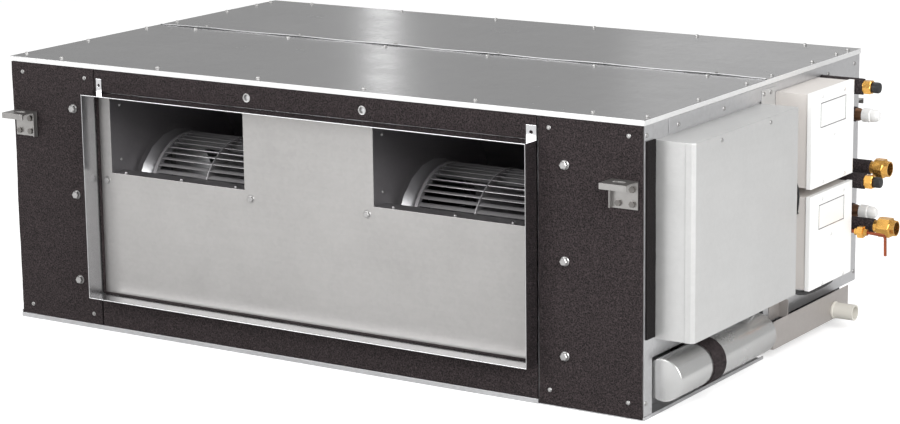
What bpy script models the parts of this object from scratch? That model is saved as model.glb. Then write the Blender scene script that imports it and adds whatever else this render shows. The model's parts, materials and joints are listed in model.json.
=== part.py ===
"""Ducted air conditioner: a two-circuit indoor unit for ceiling ducts, in metres, +Z up.

The origin is the middle of the casing's underside. Air leaves at the front (-Y) through a collar
and enters at the rear (+Y). Two double-inlet blowers share one shaft along X. The refrigerant pipes,
the electrical box, the drain trough and the accumulator are on the right side (+X).
"""
import math

import bmesh
import bpy
from mathutils import Matrix, Vector

# Casing
WIDTH = 1.450
DEPTH = 0.890
HEIGHT = 0.540
HEIGHT_SHARE = HEIGHT / 0.540
SHEET = 0.0015
SEAT = 0.0003
LIP = 0.010
BASE_LIP = 0.014
SEAM_Y = 0.028
CORNER_RETURN = 0.030
REAR_SIDE_BOTTOM = 0.066
RAIL_FRONT_Y = -0.354
RAIL_REAR_Y = 0.288
RAIL_BOTTOM_Z = 0.503 * HEIGHT_SHARE
RAIL_THICKNESS = 0.002

# Black foam on the front face
FOAM = 0.0047
FOAM_BOTTOM_LEFT = 0.009
FOAM_BOTTOM_RIGHT = 0.002
EYELET_X = 0.133
EYELET_RADIUS = 0.0066
SIDE_FOAM_BOTTOM = 0.146 * HEIGHT_SHARE
SIDE_FOAM_TOP = 0.502 * HEIGHT_SHARE

# Air outlet collar
COLLAR_WIDTH = 1.018
COLLAR_BOTTOM = 0.074
COLLAR_TOP = 0.485 * HEIGHT_SHARE
COLLAR_REACH = 0.040
COLLAR_FLANGE = 0.013
SEAL_WIDTH = 0.0055

# Blowers
FAN_Y = -0.235
FAN_Z = 0.250 * HEIGHT_SHARE
FAN_X = 0.314
SCROLL_WIDTH = 0.328
SCROLL_START_R = 0.141 * HEIGHT_SHARE
SCROLL_END_R = 0.224 * HEIGHT_SHARE
MOUTH_BOTTOM = 0.3235 * HEIGHT_SHARE
MOUTH_FLANGE = 0.012
EYE_RADIUS = 0.131 * HEIGHT_SHARE
EYE_SIDES = 20
RING_THROAT_R = 0.103 * HEIGHT_SHARE
WHEEL_RADIUS = 0.127 * HEIGHT_SHARE
WHEEL_BORE_R = 0.106 * HEIGHT_SHARE
WHEEL_WIDTH = 0.270
WHEEL_RIM = 0.003
BLADES = 22
WHEEL_SIDES = 22
BLADE_THICKNESS = 0.0018
BLADE_LEAD = 0.19
SHAFT_RADIUS = 0.010
SHAFT_OVERHANG = 0.030
RUNNING = 0.0005

# Motor
MOTOR_RADIUS = 0.080 * HEIGHT_SHARE
MOTOR_LENGTH = 0.200
CRADLE_PLATE = 0.003
CRADLE_FOOT = 0.100

# Evaporator coil
COIL_LENGTH = WIDTH - 0.154
COIL_HEIGHT = 0.470 * HEIGHT_SHARE
COIL_DEPTH = 0.088
COIL_TILT = math.radians(24.0)
COIL_Y = 0.243
COIL_Z = 0.294 * HEIGHT_SHARE
TUBE_SHEET = 0.002
TUBE_SHEET_MARGIN = 0.008
BEND_ROWS = 2
BENDS_PER_ROW = 7
BEND_TUBE_R = 0.0048

# Return-air inlet at the rear
INLET_X = COIL_LENGTH / 2 - 0.008
INLET_BOTTOM = 0.080
INLET_TOP = 0.480 * HEIGHT_SHARE
INLET_FLANGE = 0.025

# Drain pan, trough and spout
PAN_TOP = 0.062
PAN_FLOOR = 0.030
PAN_WALL = 0.014
TROUGH_INNER_X = 0.6905
TROUGH_OUTER_X = 0.745
TROUGH_FRONT_Y = 0.030
TROUGH_REAR_Y = 0.365
TROUGH_BOTTOM = 0.020
TROUGH_TOP = 0.075
TROUGH_END_TOP = 0.060
SPOUT_Y = 0.300
SPOUT_Z = 0.038
SPOUT_RADIUS = 0.016
SPOUT_BORE = 0.013
SPOUT_LENGTH = 0.045

# Side recess and accumulator
RECESS_X = 0.690
RECESS_TOP = 0.109
TANK_X = 0.741
TANK_Z = 0.068
TANK_RADIUS = 0.0395
TANK_SIDES = 24
TANK_FRONT_Y = -0.405
TANK_REAR_Y = -0.030
BAND_FRONT_Y = -0.285
BAND_REAR_Y = -0.240
BAND_THICKNESS = 0.003

# Electrical box
EBOX_DEPTH = 0.0785
EBOX_FRONT_Y = -0.4030
EBOX_REAR_Y = 0.0020
EBOX_BOTTOM = 0.142 * HEIGHT_SHARE
EBOX_TOP = 0.499 * HEIGHT_SHARE
EBOX_CHAMFER = 0.006

# Valve boxes
VBOX_DEPTH = 0.0765
VBOX_FRONT_Y = 0.068
VBOX_REAR_Y = 0.251
VBOX_HEIGHT = 0.179 * HEIGHT_SHARE
UPPER_BOX_BOTTOM = 0.332 * HEIGHT_SHARE
LOWER_BOX_BOTTOM = 0.135 * HEIGHT_SHARE
LID_LIP = 0.010

# Hangers
HANGER_INNER_X = 0.660
HANGER_OUTER_X = 0.714
HANGER_BOTTOM = 0.381 * HEIGHT_SHARE
HANGER_TOP = 0.430 * HEIGHT_SHARE
HANGER_REACH = 0.040
HANGER_LIP = 0.009
HANGER_PLATE = 0.002
SLOT_WIDTH = 0.012
SLOT_LENGTH = 0.026

# Fasteners
SCREW_RADIUS = 0.0050
SCREW_HEIGHT = 0.0036
SCREW_INSET = 0.028
HEX_RADIUS = 0.0060
HEX_HEIGHT = 0.0050
HEAD_SINK = 0.0002
WASHER_RADIUS = 0.0100
WASHER_HEIGHT = 0.0015
FRONT_BOLT_X = 0.565
FRONT_BOLT_LOW = 0.097 * HEIGHT_SHARE
FRONT_BOLT_STEP = 0.1745 * HEIGHT_SHARE
TOP_SCREW_STEP = 0.244

# Places worked out from the sizes above
RIGHT = WIDTH / 2
FRONT = -DEPTH / 2
REAR = DEPTH / 2
SIDE_X = RIGHT - SHEET - SEAT
SIDE_MOUNT_X = SIDE_X + SEAT
FRAME_Y = FRONT + FOAM + SEAT
FRAME_BACK_Y = FRAME_Y + SHEET
FLANGE_Y = FRAME_BACK_Y + SEAT
DECK_Y = FLANGE_Y + SHEET + SEAT
PANEL_BOTTOM = SHEET + SEAT
PANEL_TOP = HEIGHT - SHEET - SEAT
COLLAR_X = COLLAR_WIDTH / 2
SCROLL_TOP = FAN_Z + SCROLL_END_R
MOUTH_Y = DECK_Y + SHEET + SEAT
MOUTH_INNER_X = FAN_X - SCROLL_WIDTH / 2
MOUTH_OUTER_X = FAN_X + SCROLL_WIDTH / 2


# Materials

def make_material(name, color, roughness, metallic):
    material = bpy.data.materials.new(name)
    material.use_nodes = True
    shader = material.node_tree.nodes["Principled BSDF"]
    shader.inputs["Base Color"].default_value = (*color, 1.0)
    shader.inputs["Roughness"].default_value = roughness
    shader.inputs["Metallic"].default_value = metallic
    material.diffuse_color = (*color, 1.0)
    return material


def make_materials():
    return {
        "galvanised": make_material("galvanised", (0.56, 0.57, 0.58), 0.42, 0.9),
        "white": make_material("white_paint", (0.90, 0.90, 0.88), 0.45, 0.0),
        "foam": make_material("black_foam", (0.035, 0.031, 0.033), 0.95, 0.0),
        "steel": make_material("zinc_steel", (0.66, 0.66, 0.67), 0.30, 1.0),
        "brass": make_material("brass", (0.80, 0.58, 0.20), 0.28, 1.0),
        "copper": make_material("copper", (0.86, 0.42, 0.26), 0.30, 1.0),
        "black_plastic": make_material("black_plastic", (0.015, 0.014, 0.016), 0.40, 0.0),
        "clear_plastic": make_material("pale_plastic", (0.86, 0.86, 0.84), 0.35, 0.0),
        "spout_plastic": make_material("spout_plastic", (0.78, 0.77, 0.71), 0.40, 0.0),
        "fins": make_material("fin_aluminium", (0.74, 0.76, 0.78), 0.45, 0.9),
        "pan": make_material("pan_foam", (0.80, 0.80, 0.78), 0.80, 0.0),
        "motor": make_material("motor_paint", (0.10, 0.11, 0.12), 0.50, 0.2),
        "board": make_material("circuit_board", (0.05, 0.22, 0.10), 0.50, 0.0),
    }


# Mesh helpers

def make_object(name, bm, material):
    bmesh.ops.recalc_face_normals(bm, faces=bm.faces)
    mesh = bpy.data.meshes.new(name)
    bm.to_mesh(mesh)
    bm.free()
    mesh.materials.append(material)
    obj = bpy.data.objects.new(name, mesh)
    bpy.context.scene.collection.objects.link(obj)
    return obj


def shade_round(obj, angle=35.0):
    obj.data.shade_smooth()
    obj.data.set_sharp_from_angle(angle=math.radians(angle))
    return obj


def place(axis, along, a, b):
    """A point from its place along an axis and its two other coordinates, in X, Y, Z order."""
    if axis == "X":
        return Vector((along, a, b))
    if axis == "Y":
        return Vector((a, along, b))
    return Vector((a, b, along))


def rectangle(a0, a1, b0, b1):
    return [(a0, b0), (a1, b0), (a1, b1), (a0, b1)]


def circle(a, b, radius, count, start=0.0):
    turn = 2 * math.pi / count
    return [(a + radius * math.cos(start + turn * k), b + radius * math.sin(start + turn * k))
            for k in range(count)]


def close_extrusion(bm, faces, vector):
    """Turn flat faces into a closed slab by a copy of them moved by the vector."""
    rims = [edge for face in faces for edge in face.edges if len(edge.link_faces) == 1]
    twins = {vert: bm.verts.new(vert.co + vector) for face in faces for vert in face.verts}
    for face in faces:
        bm.faces.new([twins[vert] for vert in reversed(face.verts)])
    for edge in rims:
        a, b = edge.verts
        bm.faces.new((a, b, twins[b], twins[a]))


def add_slab(bm, axis, start, end, outline, holes=()):
    """Extrude a flat outline, with any holes, from start to end along an axis."""
    loops = []
    for points in [outline, *holes]:
        loops.append([bm.verts.new(place(axis, start, *point)) for point in points])
    if holes:
        edges = [bm.edges.new(pair) for loop in loops for pair in zip(loop, loop[1:] + loop[:1])]
        filled = bmesh.ops.triangle_fill(bm, use_beauty=True, use_dissolve=False, edges=edges)
        faces = [item for item in filled["geom"] if isinstance(item, bmesh.types.BMFace)]
    else:
        faces = [bm.faces.new(loops[0])]
    close_extrusion(bm, faces, place(axis, end - start, 0.0, 0.0))


def add_box(bm, x0, x1, y0, y1, z0, z1):
    add_slab(bm, "Z", z0, z1, rectangle(x0, x1, y0, y1))


def folded_sheet(points, thickness):
    """The closed section of a bent sheet that lies on the left of a line of points."""
    line = [Vector(point) for point in points]
    offset = []
    for k, point in enumerate(line):
        before = (point - line[k - 1]).normalized() if k else None
        after = (line[k + 1] - point).normalized() if k < len(line) - 1 else None
        before = before or after
        after = after or before
        left_before = Vector((-before.y, before.x))
        left_after = Vector((-after.y, after.x))
        mitre = (left_before + left_after).normalized()
        offset.append(point + mitre * thickness / max(mitre.dot(left_after), 0.2))
    return [tuple(point) for point in line] + [tuple(point) for point in reversed(offset)]


def add_rings(bm, rings, closed):
    """Bridge rings of vertices; a ring of one vertex is a pole, and open ends are capped."""
    pairs = list(zip(rings, rings[1:]))
    if closed:
        pairs.append((rings[-1], rings[0]))
    for first, second in pairs:
        count = max(len(first), len(second))
        for k in range(count):
            n = (k + 1) % count
            if len(first) == 1:
                bm.faces.new((first[0], second[n], second[k]))
            elif len(second) == 1:
                bm.faces.new((first[k], first[n], second[0]))
            else:
                bm.faces.new((first[k], first[n], second[n], second[k]))
    if not closed:
        for ring in (rings[0], rings[-1]):
            if len(ring) > 2:
                bm.faces.new(ring)


def ring_at(bm, centre, direction, radius, sides, hexed=False, side_hint=Vector((0, 0, 1))):
    if radius <= 0:
        return [bm.verts.new(centre)]
    across = direction.cross(side_hint)
    if across.length < 0.01:
        across = direction.cross(Vector((0, 1, 0)))
    across.normalize()
    up = across.cross(direction).normalized()
    ring = []
    for k in range(sides):
        angle = 2 * math.pi * k / sides
        reach = radius * (math.cos(math.pi / 6) if hexed and k % 2 else 1.0)
        ring.append(bm.verts.new(centre + reach * (math.cos(angle) * across + math.sin(angle) * up)))
    return ring


def add_turned(bm, origin, direction, profile, sides, closed=False):
    """Turn a profile of (along, radius) or (along, radius, hexed) points about an axis."""
    origin = Vector(origin)
    direction = Vector(direction).normalized()
    rings = []
    for along, radius, *hexed in profile:
        centre = origin + direction * along
        rings.append(ring_at(bm, centre, direction, radius, sides, bool(hexed)))
    add_rings(bm, rings, closed)


def add_tube(bm, path, radii, sides, bore=0.0, bore_depth=0.0, flare=0.0):
    """Sweep a round tube along a path, with one radius or one at each point, where a point given
    twice makes a step. Its far end may be open as a blind bore, and flared."""
    points = [Vector(point) for point in path]
    if not isinstance(radii, list):
        radii = [radii] * len(points)
    rings = []
    for k, point in enumerate(points):
        ahead = next((other - point for other in points[k + 1:] if other != point), None)
        behind = next((point - other for other in reversed(points[:k]) if other != point), None)
        ahead = ahead or behind
        behind = behind or ahead
        direction = (ahead.normalized() + behind.normalized()).normalized()
        grow = flare if k == len(points) - 1 else 0.0
        rings.append(ring_at(bm, point, direction, radii[k] + grow, sides))
    if bore > 0:
        for back, radius in ((0.0, bore + flare), (flare, bore), (bore_depth, bore)):
            rings.append(ring_at(bm, points[-1] - direction * back, direction, radius, sides))
    add_rings(bm, rings, closed=False)


def rounded_path(corners, radius, steps=3):
    """A line of points through the corners, each inner corner replaced by an arc."""
    points = [Vector(corner) for corner in corners]
    path = [points[0]]
    for before, corner, after in zip(points, points[1:], points[2:]):
        start = corner + (before - corner).normalized() * radius
        end = corner + (after - corner).normalized() * radius
        for k in range(steps + 1):
            t = k / steps
            path.append((1 - t) ** 2 * start + 2 * t * (1 - t) * corner + t ** 2 * end)
    path.append(points[-1])
    return path


def combine(target, tool, operation):
    """Apply an exact Boolean with another object, which is used up."""
    modifier = target.modifiers.new(operation.lower(), "BOOLEAN")
    modifier.operation = operation
    modifier.solver = "EXACT"
    modifier.object = tool
    depsgraph = bpy.context.evaluated_depsgraph_get()
    mesh = bpy.data.meshes.new_from_object(target.evaluated_get(depsgraph))
    target.modifiers.clear()
    old = target.data
    target.data = mesh
    bpy.data.meshes.remove(old)
    bpy.data.objects.remove(tool)
    mesh.name = target.name
    return target


def fuse(parts):
    whole = parts[0]
    for part in parts[1:]:
        combine(whole, part, "UNION")
    return whole


def slab_object(name, material, axis, start, end, outline, holes=()):
    bm = bmesh.new()
    add_slab(bm, axis, start, end, outline, holes)
    return make_object(name, bm, material)


def turned_object(name, material, origin, direction, profile, sides, closed=False):
    bm = bmesh.new()
    add_turned(bm, origin, direction, profile, sides, closed)
    return make_object(name, bm, material)


def box_object(name, material, x0, x1, y0, y1, z0, z1):
    bm = bmesh.new()
    add_box(bm, x0, x1, y0, y1, z0, z1)
    return make_object(name, bm, material)


# Fasteners

def add_screw(bm, centre, direction):
    """A round-headed screw whose base sinks a little into the sheet that it holds."""
    profile = [(-HEAD_SINK, SCREW_RADIUS), (SCREW_HEIGHT, SCREW_RADIUS * 0.7)]
    add_turned(bm, centre, direction, profile, 6)


def add_hex_bolt(bm, centre, direction, washer):
    if washer:
        profile = [(-HEAD_SINK, WASHER_RADIUS), (WASHER_HEIGHT, WASHER_RADIUS), (WASHER_HEIGHT, HEX_RADIUS),
                   (WASHER_HEIGHT + HEX_HEIGHT, HEX_RADIUS)]
    else:
        profile = [(-HEAD_SINK, HEX_RADIUS), (HEX_HEIGHT, HEX_RADIUS)]
    add_turned(bm, centre, direction, profile, 6)


def fit_screws(panel, places, direction, material):
    bm = bmesh.new()
    for centre in places:
        add_screw(bm, centre, direction)
    return combine(panel, make_object("screws", bm, material), "UNION")


def fit_bolts(panel, places, direction, material, washer=False):
    bm = bmesh.new()
    for centre in places:
        add_hex_bolt(bm, centre, direction, washer)
    return combine(panel, make_object("bolts", bm, material), "UNION")


def fit_top_screws(panel, y, material):
    """A row of screws across a top panel; their raised heads set the overall height."""
    places = [(TOP_SCREW_STEP * (k - 2.5), y, HEIGHT) for k in range(6)]
    return fit_screws(panel, places, (0, 0, 1), material)


# Casing

def build_base_pan(material):
    """Front base pan, with a lip up its left and right sides and along the front."""
    y0 = FRONT
    y1 = SEAM_Y - SEAT
    section = folded_sheet([(-RIGHT, BASE_LIP), (-RIGHT, 0.0), (RIGHT, 0.0), (RIGHT, BASE_LIP)], SHEET)
    pan = slab_object("base_pan", material, "Y", y0 + SHEET / 2, y1, section)
    lip_right = COLLAR_X
    lip = box_object("base_lip", material, -RIGHT, lip_right, y0, y0 + SHEET,
                     0.0, FOAM_BOTTOM_LEFT - SEAT)
    return combine(pan, lip, "UNION")


def build_rear_base_pan(material):
    """Rear base pan: it stops short of the right side, where the drain trough hangs."""
    section = folded_sheet([(-RIGHT, BASE_LIP), (-RIGHT, 0.0), (RECESS_X, 0.0)], SHEET)
    return slab_object("rear_base_pan", material, "Y", SEAM_Y, REAR, section)


def top_section():
    return folded_sheet([(RIGHT, HEIGHT - LIP), (RIGHT, HEIGHT), (-RIGHT, HEIGHT),
                         (-RIGHT, HEIGHT - LIP)], SHEET)


def build_front_top_panel(material):
    panel = slab_object("front_top_panel", material, "Y", FRONT + SHEET / 2, SEAM_Y - SEAT, top_section())
    lip = box_object("front_lip", material, -RIGHT, RIGHT, FRONT, FRONT + SHEET,
                     HEIGHT - LIP, HEIGHT)
    combine(panel, lip, "UNION")
    return fit_top_screws(panel, FRONT + 0.024, material)


def build_rear_top_panel(material):
    panel = slab_object("rear_top_panel", material, "Y", SEAM_Y, REAR + SEAT + SHEET / 2, top_section())
    lip = box_object("rear_lip", material, -RIGHT, RIGHT, REAR + SEAT, REAR + SEAT + SHEET,
                     HEIGHT - LIP, HEIGHT)
    strap = box_object("seam_strap", material, -RIGHT + LIP, RIGHT - LIP, SEAM_Y - 0.026, SEAM_Y + 0.024,
                       HEIGHT - 2 * SHEET - SEAT, HEIGHT - SHEET - SEAT)
    joint = box_object("seam_joint", material, -RIGHT + LIP, RIGHT - LIP, SEAM_Y + 0.004, SEAM_Y + 0.024,
                       HEIGHT - 2 * SHEET - SEAT, HEIGHT - SHEET / 2)
    fuse([panel, combine(strap, joint, "UNION"), lip])
    return fit_top_screws(panel, REAR - 0.014, material)


def build_left_side_panel(material):
    front = FRAME_Y + CORNER_RETURN + SEAT
    panel = box_object("left_side_panel", material, -SIDE_X, -SIDE_X + SHEET, front, REAR,
                       PANEL_BOTTOM, PANEL_TOP - SHEET - SEAT)
    places = [(-SIDE_X, y, z) for y in (FRONT + 0.065, REAR - 0.045)
              for z in (HEIGHT - SCREW_INSET, SCREW_INSET + 0.002)]
    return fit_screws(panel, places, (-1, 0, 0), material)


def build_right_front_panel(material):
    """Right front side: a flat panel that steps in over the recess for the accumulator."""
    front = FRAME_Y + CORNER_RETURN + SEAT
    rear = SEAM_Y - SEAT
    top = PANEL_TOP - SHEET - SEAT
    section = folded_sheet([(SIDE_X, top), (SIDE_X, RECESS_TOP), (RECESS_X, RECESS_TOP),
                            (RECESS_X, PANEL_BOTTOM)], -SHEET)
    panel = slab_object("right_front_panel", material, "Y", front, rear, section)
    end = box_object("recess_end", material, RECESS_X - SHEET, SIDE_X - SHEET - SEAT, front, front + SHEET,
                     PANEL_BOTTOM, RECESS_TOP + SHEET / 2)
    return combine(panel, end, "UNION")


def build_right_rear_panel(material):
    top = PANEL_TOP - SHEET - SEAT
    outline = rectangle(SEAM_Y, REAR, REAR_SIDE_BOTTOM, top)
    holes = [circle(y, z, radius + SEAT, 12) for y, z, radius in side_holes()]
    return slab_object("right_rear_panel", material, "X", SIDE_X - SHEET, SIDE_X, outline, holes)


def build_side_rail(material):
    outer = SIDE_MOUNT_X + RAIL_THICKNESS
    pipe_z, _, sleeve = PIPES["service_upper"][1:4]
    notch_y = VBOX_FRONT_Y - 0.006
    notch_z = pipe_z + sleeve + 0.001
    top = HEIGHT - LIP - SEAT
    outline = [(RAIL_FRONT_Y, RAIL_BOTTOM_Z), (notch_y, RAIL_BOTTOM_Z), (notch_y, notch_z),
               (RAIL_REAR_Y, notch_z), (RAIL_REAR_Y, top), (RAIL_FRONT_Y, top)]
    return slab_object("side_top_rail", material, "X", SIDE_MOUNT_X, outer, outline)


def build_front_frame(material):
    """Front sheet with the window for the collar and a return round each front corner."""
    window = rectangle(-COLLAR_X - SEAT, COLLAR_X + SEAT, COLLAR_BOTTOM - SEAT, COLLAR_TOP + SEAT)
    outline = rectangle(-SIDE_X, SIDE_X, PANEL_BOTTOM, PANEL_TOP)
    frame = slab_object("front_frame", material, "Y", FRAME_Y, FRAME_BACK_Y, outline, [window])
    for side in (-1, 1):
        x0, x1 = sorted((side * SIDE_X, side * (SIDE_X - SHEET)))
        tab = box_object("corner_return", material, x0, x1, FRAME_Y + SHEET / 2, FRAME_Y + CORNER_RETURN,
                         PANEL_BOTTOM, PANEL_TOP)
        combine(frame, tab, "UNION")
    return frame


def build_rear_inlet_frame(material):
    """Rear sheet round the return-air inlet, with a duct flange standing out of it."""
    inner = SIDE_X - SHEET - SEAT
    outline = [(-inner, PANEL_BOTTOM), (RECESS_X - SHEET, PANEL_BOTTOM),
               (RECESS_X - SHEET, REAR_SIDE_BOTTOM), (inner, REAR_SIDE_BOTTOM),
               (inner, PANEL_TOP - SHEET - SEAT), (-inner, PANEL_TOP - SHEET - SEAT)]
    window = rectangle(-INLET_X, INLET_X, INLET_BOTTOM, INLET_TOP)
    frame = slab_object("rear_inlet_frame", material, "Y", REAR - SHEET, REAR, outline, [window])
    flange_outer = rectangle(-INLET_X - SHEET, INLET_X + SHEET, INLET_BOTTOM - SHEET, INLET_TOP + SHEET)
    flange = slab_object("inlet_flange", material, "Y", REAR - SHEET / 2, REAR + INLET_FLANGE,
                         flange_outer, [window])
    return combine(frame, flange, "UNION")


def build_blower_deck(material):
    """Partition sheet behind the collar that carries both blowers, with a window for each mouth."""
    windows = []
    for side in (-1, 1):
        x0, x1 = sorted((side * MOUTH_INNER_X, side * MOUTH_OUTER_X))
        windows.append(rectangle(x0, x1, MOUTH_BOTTOM, SCROLL_TOP))
    half = RIGHT - 0.025
    outline = rectangle(-half, half, PANEL_BOTTOM, PANEL_TOP)
    deck = slab_object("blower_deck", material, "Y", DECK_Y, DECK_Y + SHEET, outline, windows)
    bolts = [(side * x, DECK_Y, MOUTH_BOTTOM - 0.016) for x in (MOUTH_INNER_X - 0.015, MOUTH_OUTER_X + 0.012)
             for side in (-1, 1)]
    return fit_bolts(deck, bolts, (0, -1, 0), material)


def build_collar(material):
    """Outlet collar: four walls, a flange clamped behind the front frame, and two slotted tabs."""
    outer = rectangle(-COLLAR_X, COLLAR_X, COLLAR_BOTTOM, COLLAR_TOP)
    inner = rectangle(-COLLAR_X + SHEET, COLLAR_X - SHEET, COLLAR_BOTTOM + SHEET, COLLAR_TOP - SHEET)
    rim = rectangle(-COLLAR_X - COLLAR_FLANGE, COLLAR_X + COLLAR_FLANGE,
                    COLLAR_BOTTOM - COLLAR_FLANGE, COLLAR_TOP + COLLAR_FLANGE)
    back = FLANGE_Y + SHEET
    collar = slab_object("outlet_collar", material, "Y", FRONT - COLLAR_REACH, back, outer, [inner])
    flange = slab_object("collar_flange", material, "Y", FLANGE_Y, back, rim, [inner])
    combine(collar, flange, "UNION")
    for x0, x1, slot in ((-COLLAR_X + 0.0075, -COLLAR_X + 0.0210, 0.0030),
                         (COLLAR_X - 0.0215, COLLAR_X, 0.0036)):
        plate = rectangle(x0, x1, COLLAR_TOP - SHEET, COLLAR_TOP + 0.027)
        hole = circle((x0 + x1) / 2, COLLAR_TOP + 0.014, slot, 8)
        tab = slab_object("collar_tab", material, "Y", FRONT - SEAT - SHEET, FRONT - SEAT, plate, [hole])
        combine(collar, tab, "UNION")
    return collar


def build_collar_seal(material):
    inset = SHEET + SEAT
    outer = rectangle(-COLLAR_X + inset, COLLAR_X - inset, COLLAR_BOTTOM + inset, COLLAR_TOP - inset)
    inset += SEAL_WIDTH
    inner = rectangle(-COLLAR_X + inset, COLLAR_X - inset, COLLAR_BOTTOM + inset, COLLAR_TOP - inset)
    return slab_object("collar_seal", material, "Y", FRONT, DECK_Y - SEAT, outer, [inner])


# Foam

def build_front_foam(material):
    """Black foam sheets round the collar: one down each side, bolted, and a strip above and below."""
    back = FRAME_Y - SEAT
    top = HEIGHT - LIP - SEAT
    edge = COLLAR_X + SEAT
    for name, side, bottom in (("foam_left", -1, FOAM_BOTTOM_LEFT), ("foam_right", 1, FOAM_BOTTOM_RIGHT)):
        x0, x1 = sorted((side * edge, side * SIDE_X))
        sheet = box_object(name, material, x0, x1, FRONT, back, bottom, top)
        bolts = [(side * FRONT_BOLT_X, FRONT, FRONT_BOLT_LOW + FRONT_BOLT_STEP * k) for k in range(3)]
        fit_bolts(sheet, bolts, (0, -1, 0), material, washer=True)
    reach = COLLAR_X
    holes = [circle(x, COLLAR_TOP + 0.020, EYELET_RADIUS, 10) for x in (-EYELET_X, EYELET_X)]
    slab_object("foam_top", material, "Y", FRONT, back, rectangle(-reach, reach, COLLAR_TOP + SEAT, top), holes)
    box_object("foam_bottom", material, -reach, reach, FRONT, back, FOAM_BOTTOM_LEFT, COLLAR_BOTTOM - SEAT)


def build_side_foam(material):
    box_object("side_foam", material, SIDE_MOUNT_X, SIDE_MOUNT_X + 0.004, FRAME_Y + 0.003,
               EBOX_FRONT_Y - SHEET - 2 * SEAT, SIDE_FOAM_BOTTOM, SIDE_FOAM_TOP)


# Blowers

def scroll_outline(offset, reach):
    """The spiral in the YZ plane, from the top of the mouth round to its lower lip."""
    floor = MOUTH_BOTTOM - offset
    start = math.pi - math.asin((floor - FAN_Z) / (SCROLL_START_R + offset))
    end = math.radians(450.0)
    steps = 20
    points = [(MOUTH_Y - reach, SCROLL_TOP + offset)]
    for k in range(steps + 1):
        t = 1.0 - k / steps
        angle = start + (end - start) * t
        radius = SCROLL_START_R + (SCROLL_END_R - SCROLL_START_R) * t + offset
        points.append((FAN_Y + radius * math.cos(angle), FAN_Z + radius * math.sin(angle)))
    points.append((MOUTH_Y - reach, floor))
    return points


def add_inlet_ring(scroll, x, outward, material):
    """A rounded inlet ring that narrows from the eye of the side plate towards the wheel."""
    gap = SCROLL_WIDTH / 2 - WHEEL_WIDTH / 2
    depth = gap + SHEET - 0.003
    profile = [(0.0015, EYE_RADIUS + 0.012), (0.0015, EYE_RADIUS - 0.007), (-0.006, EYE_RADIUS - 0.016),
               (-depth, RING_THROAT_R), (-depth, RING_THROAT_R + 0.0015), (-0.0035, EYE_RADIUS - 0.0015),
               (-0.0008, EYE_RADIUS + 0.012)]
    ring = turned_object("inlet_ring", material, (x, FAN_Y, FAN_Z), (outward, 0, 0), profile, EYE_SIDES, closed=True)
    return combine(scroll, ring, "UNION")


def build_scroll(name, centre, material):
    """Spiral blower housing: bent wrap, two side plates with an eye, inlet rings and mouth flange."""
    half = SCROLL_WIDTH / 2
    shell = slab_object(name, material, "X", centre - half - SHEET, centre + half + SHEET,
                        scroll_outline(SHEET, 0.0))
    cavity = slab_object("cavity", material, "X", centre - half, centre + half, scroll_outline(0.0, 0.01))
    combine(shell, cavity, "DIFFERENCE")
    eye = turned_object("eye", material, (centre - 0.2, FAN_Y, FAN_Z), (1, 0, 0),
                        [(0.0, EYE_RADIUS - 0.003), (0.4, EYE_RADIUS - 0.003)], EYE_SIDES)
    combine(shell, eye, "DIFFERENCE")
    window = rectangle(centre - half, centre + half, MOUTH_BOTTOM, SCROLL_TOP)
    rim = rectangle(centre - half - MOUTH_FLANGE, centre + half + MOUTH_FLANGE,
                    MOUTH_BOTTOM - MOUTH_FLANGE, SCROLL_TOP + MOUTH_FLANGE)
    flange = slab_object("mouth_flange", material, "Y", MOUTH_Y, MOUTH_Y + SHEET, rim, [window])
    combine(shell, flange, "UNION")
    for outward in (-1, 1):
        add_inlet_ring(shell, centre + outward * (half + SHEET), outward, material)
    return shade_round(shell)


def blade_section(turn):
    """A forward-curved blade in the plane across the shaft: thin, bent towards the turning side."""
    inner = WHEEL_BORE_R + 0.0012
    outer = WHEEL_RADIUS - 0.0012
    front = []
    back = []
    for t in (0.0, 0.5, 1.0):
        radius = inner + (outer - inner) * t
        angle = turn + BLADE_LEAD * t * t
        half = BLADE_THICKNESS / 2 / radius
        front.append((radius * math.cos(angle + half), radius * math.sin(angle + half)))
        back.append((radius * math.cos(angle - half), radius * math.sin(angle - half)))
    return front + back[::-1]


def build_wheel(name, centre, material):
    """Double-inlet squirrel-cage wheel, modelled about its own centre on the shaft axis."""
    half = WHEEL_WIDTH / 2
    bore = SHAFT_RADIUS + SEAT
    disc = [(-0.030, bore), (-0.030, 0.024), (-0.001, 0.024), (-0.001, WHEEL_RADIUS),
            (0.001, WHEEL_RADIUS), (0.001, 0.024), (0.030, 0.024), (0.030, bore)]
    wheel = turned_object(name, material, (0, 0, 0), (1, 0, 0), disc, WHEEL_SIDES, closed=True)
    rims = bmesh.new()
    for side in (-1, 1):
        rim = [(half - WHEEL_RIM, WHEEL_BORE_R), (half - WHEEL_RIM, WHEEL_RADIUS),
               (half, WHEEL_RADIUS), (half, WHEEL_BORE_R)]
        add_turned(rims, (0, 0, 0), (side, 0, 0), rim, WHEEL_SIDES, closed=True)
    blades = bmesh.new()
    for k in range(BLADES):
        section = blade_section(2 * math.pi * k / BLADES)
        add_slab(blades, "X", -half + WHEEL_RIM / 2, half - WHEEL_RIM / 2, section)
    combine(wheel, make_object("blades", blades, material), "UNION")
    combine(wheel, make_object("rims", rims, material), "UNION")
    wheel.location = (centre, FAN_Y, FAN_Z)
    return shade_round(wheel)


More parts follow.
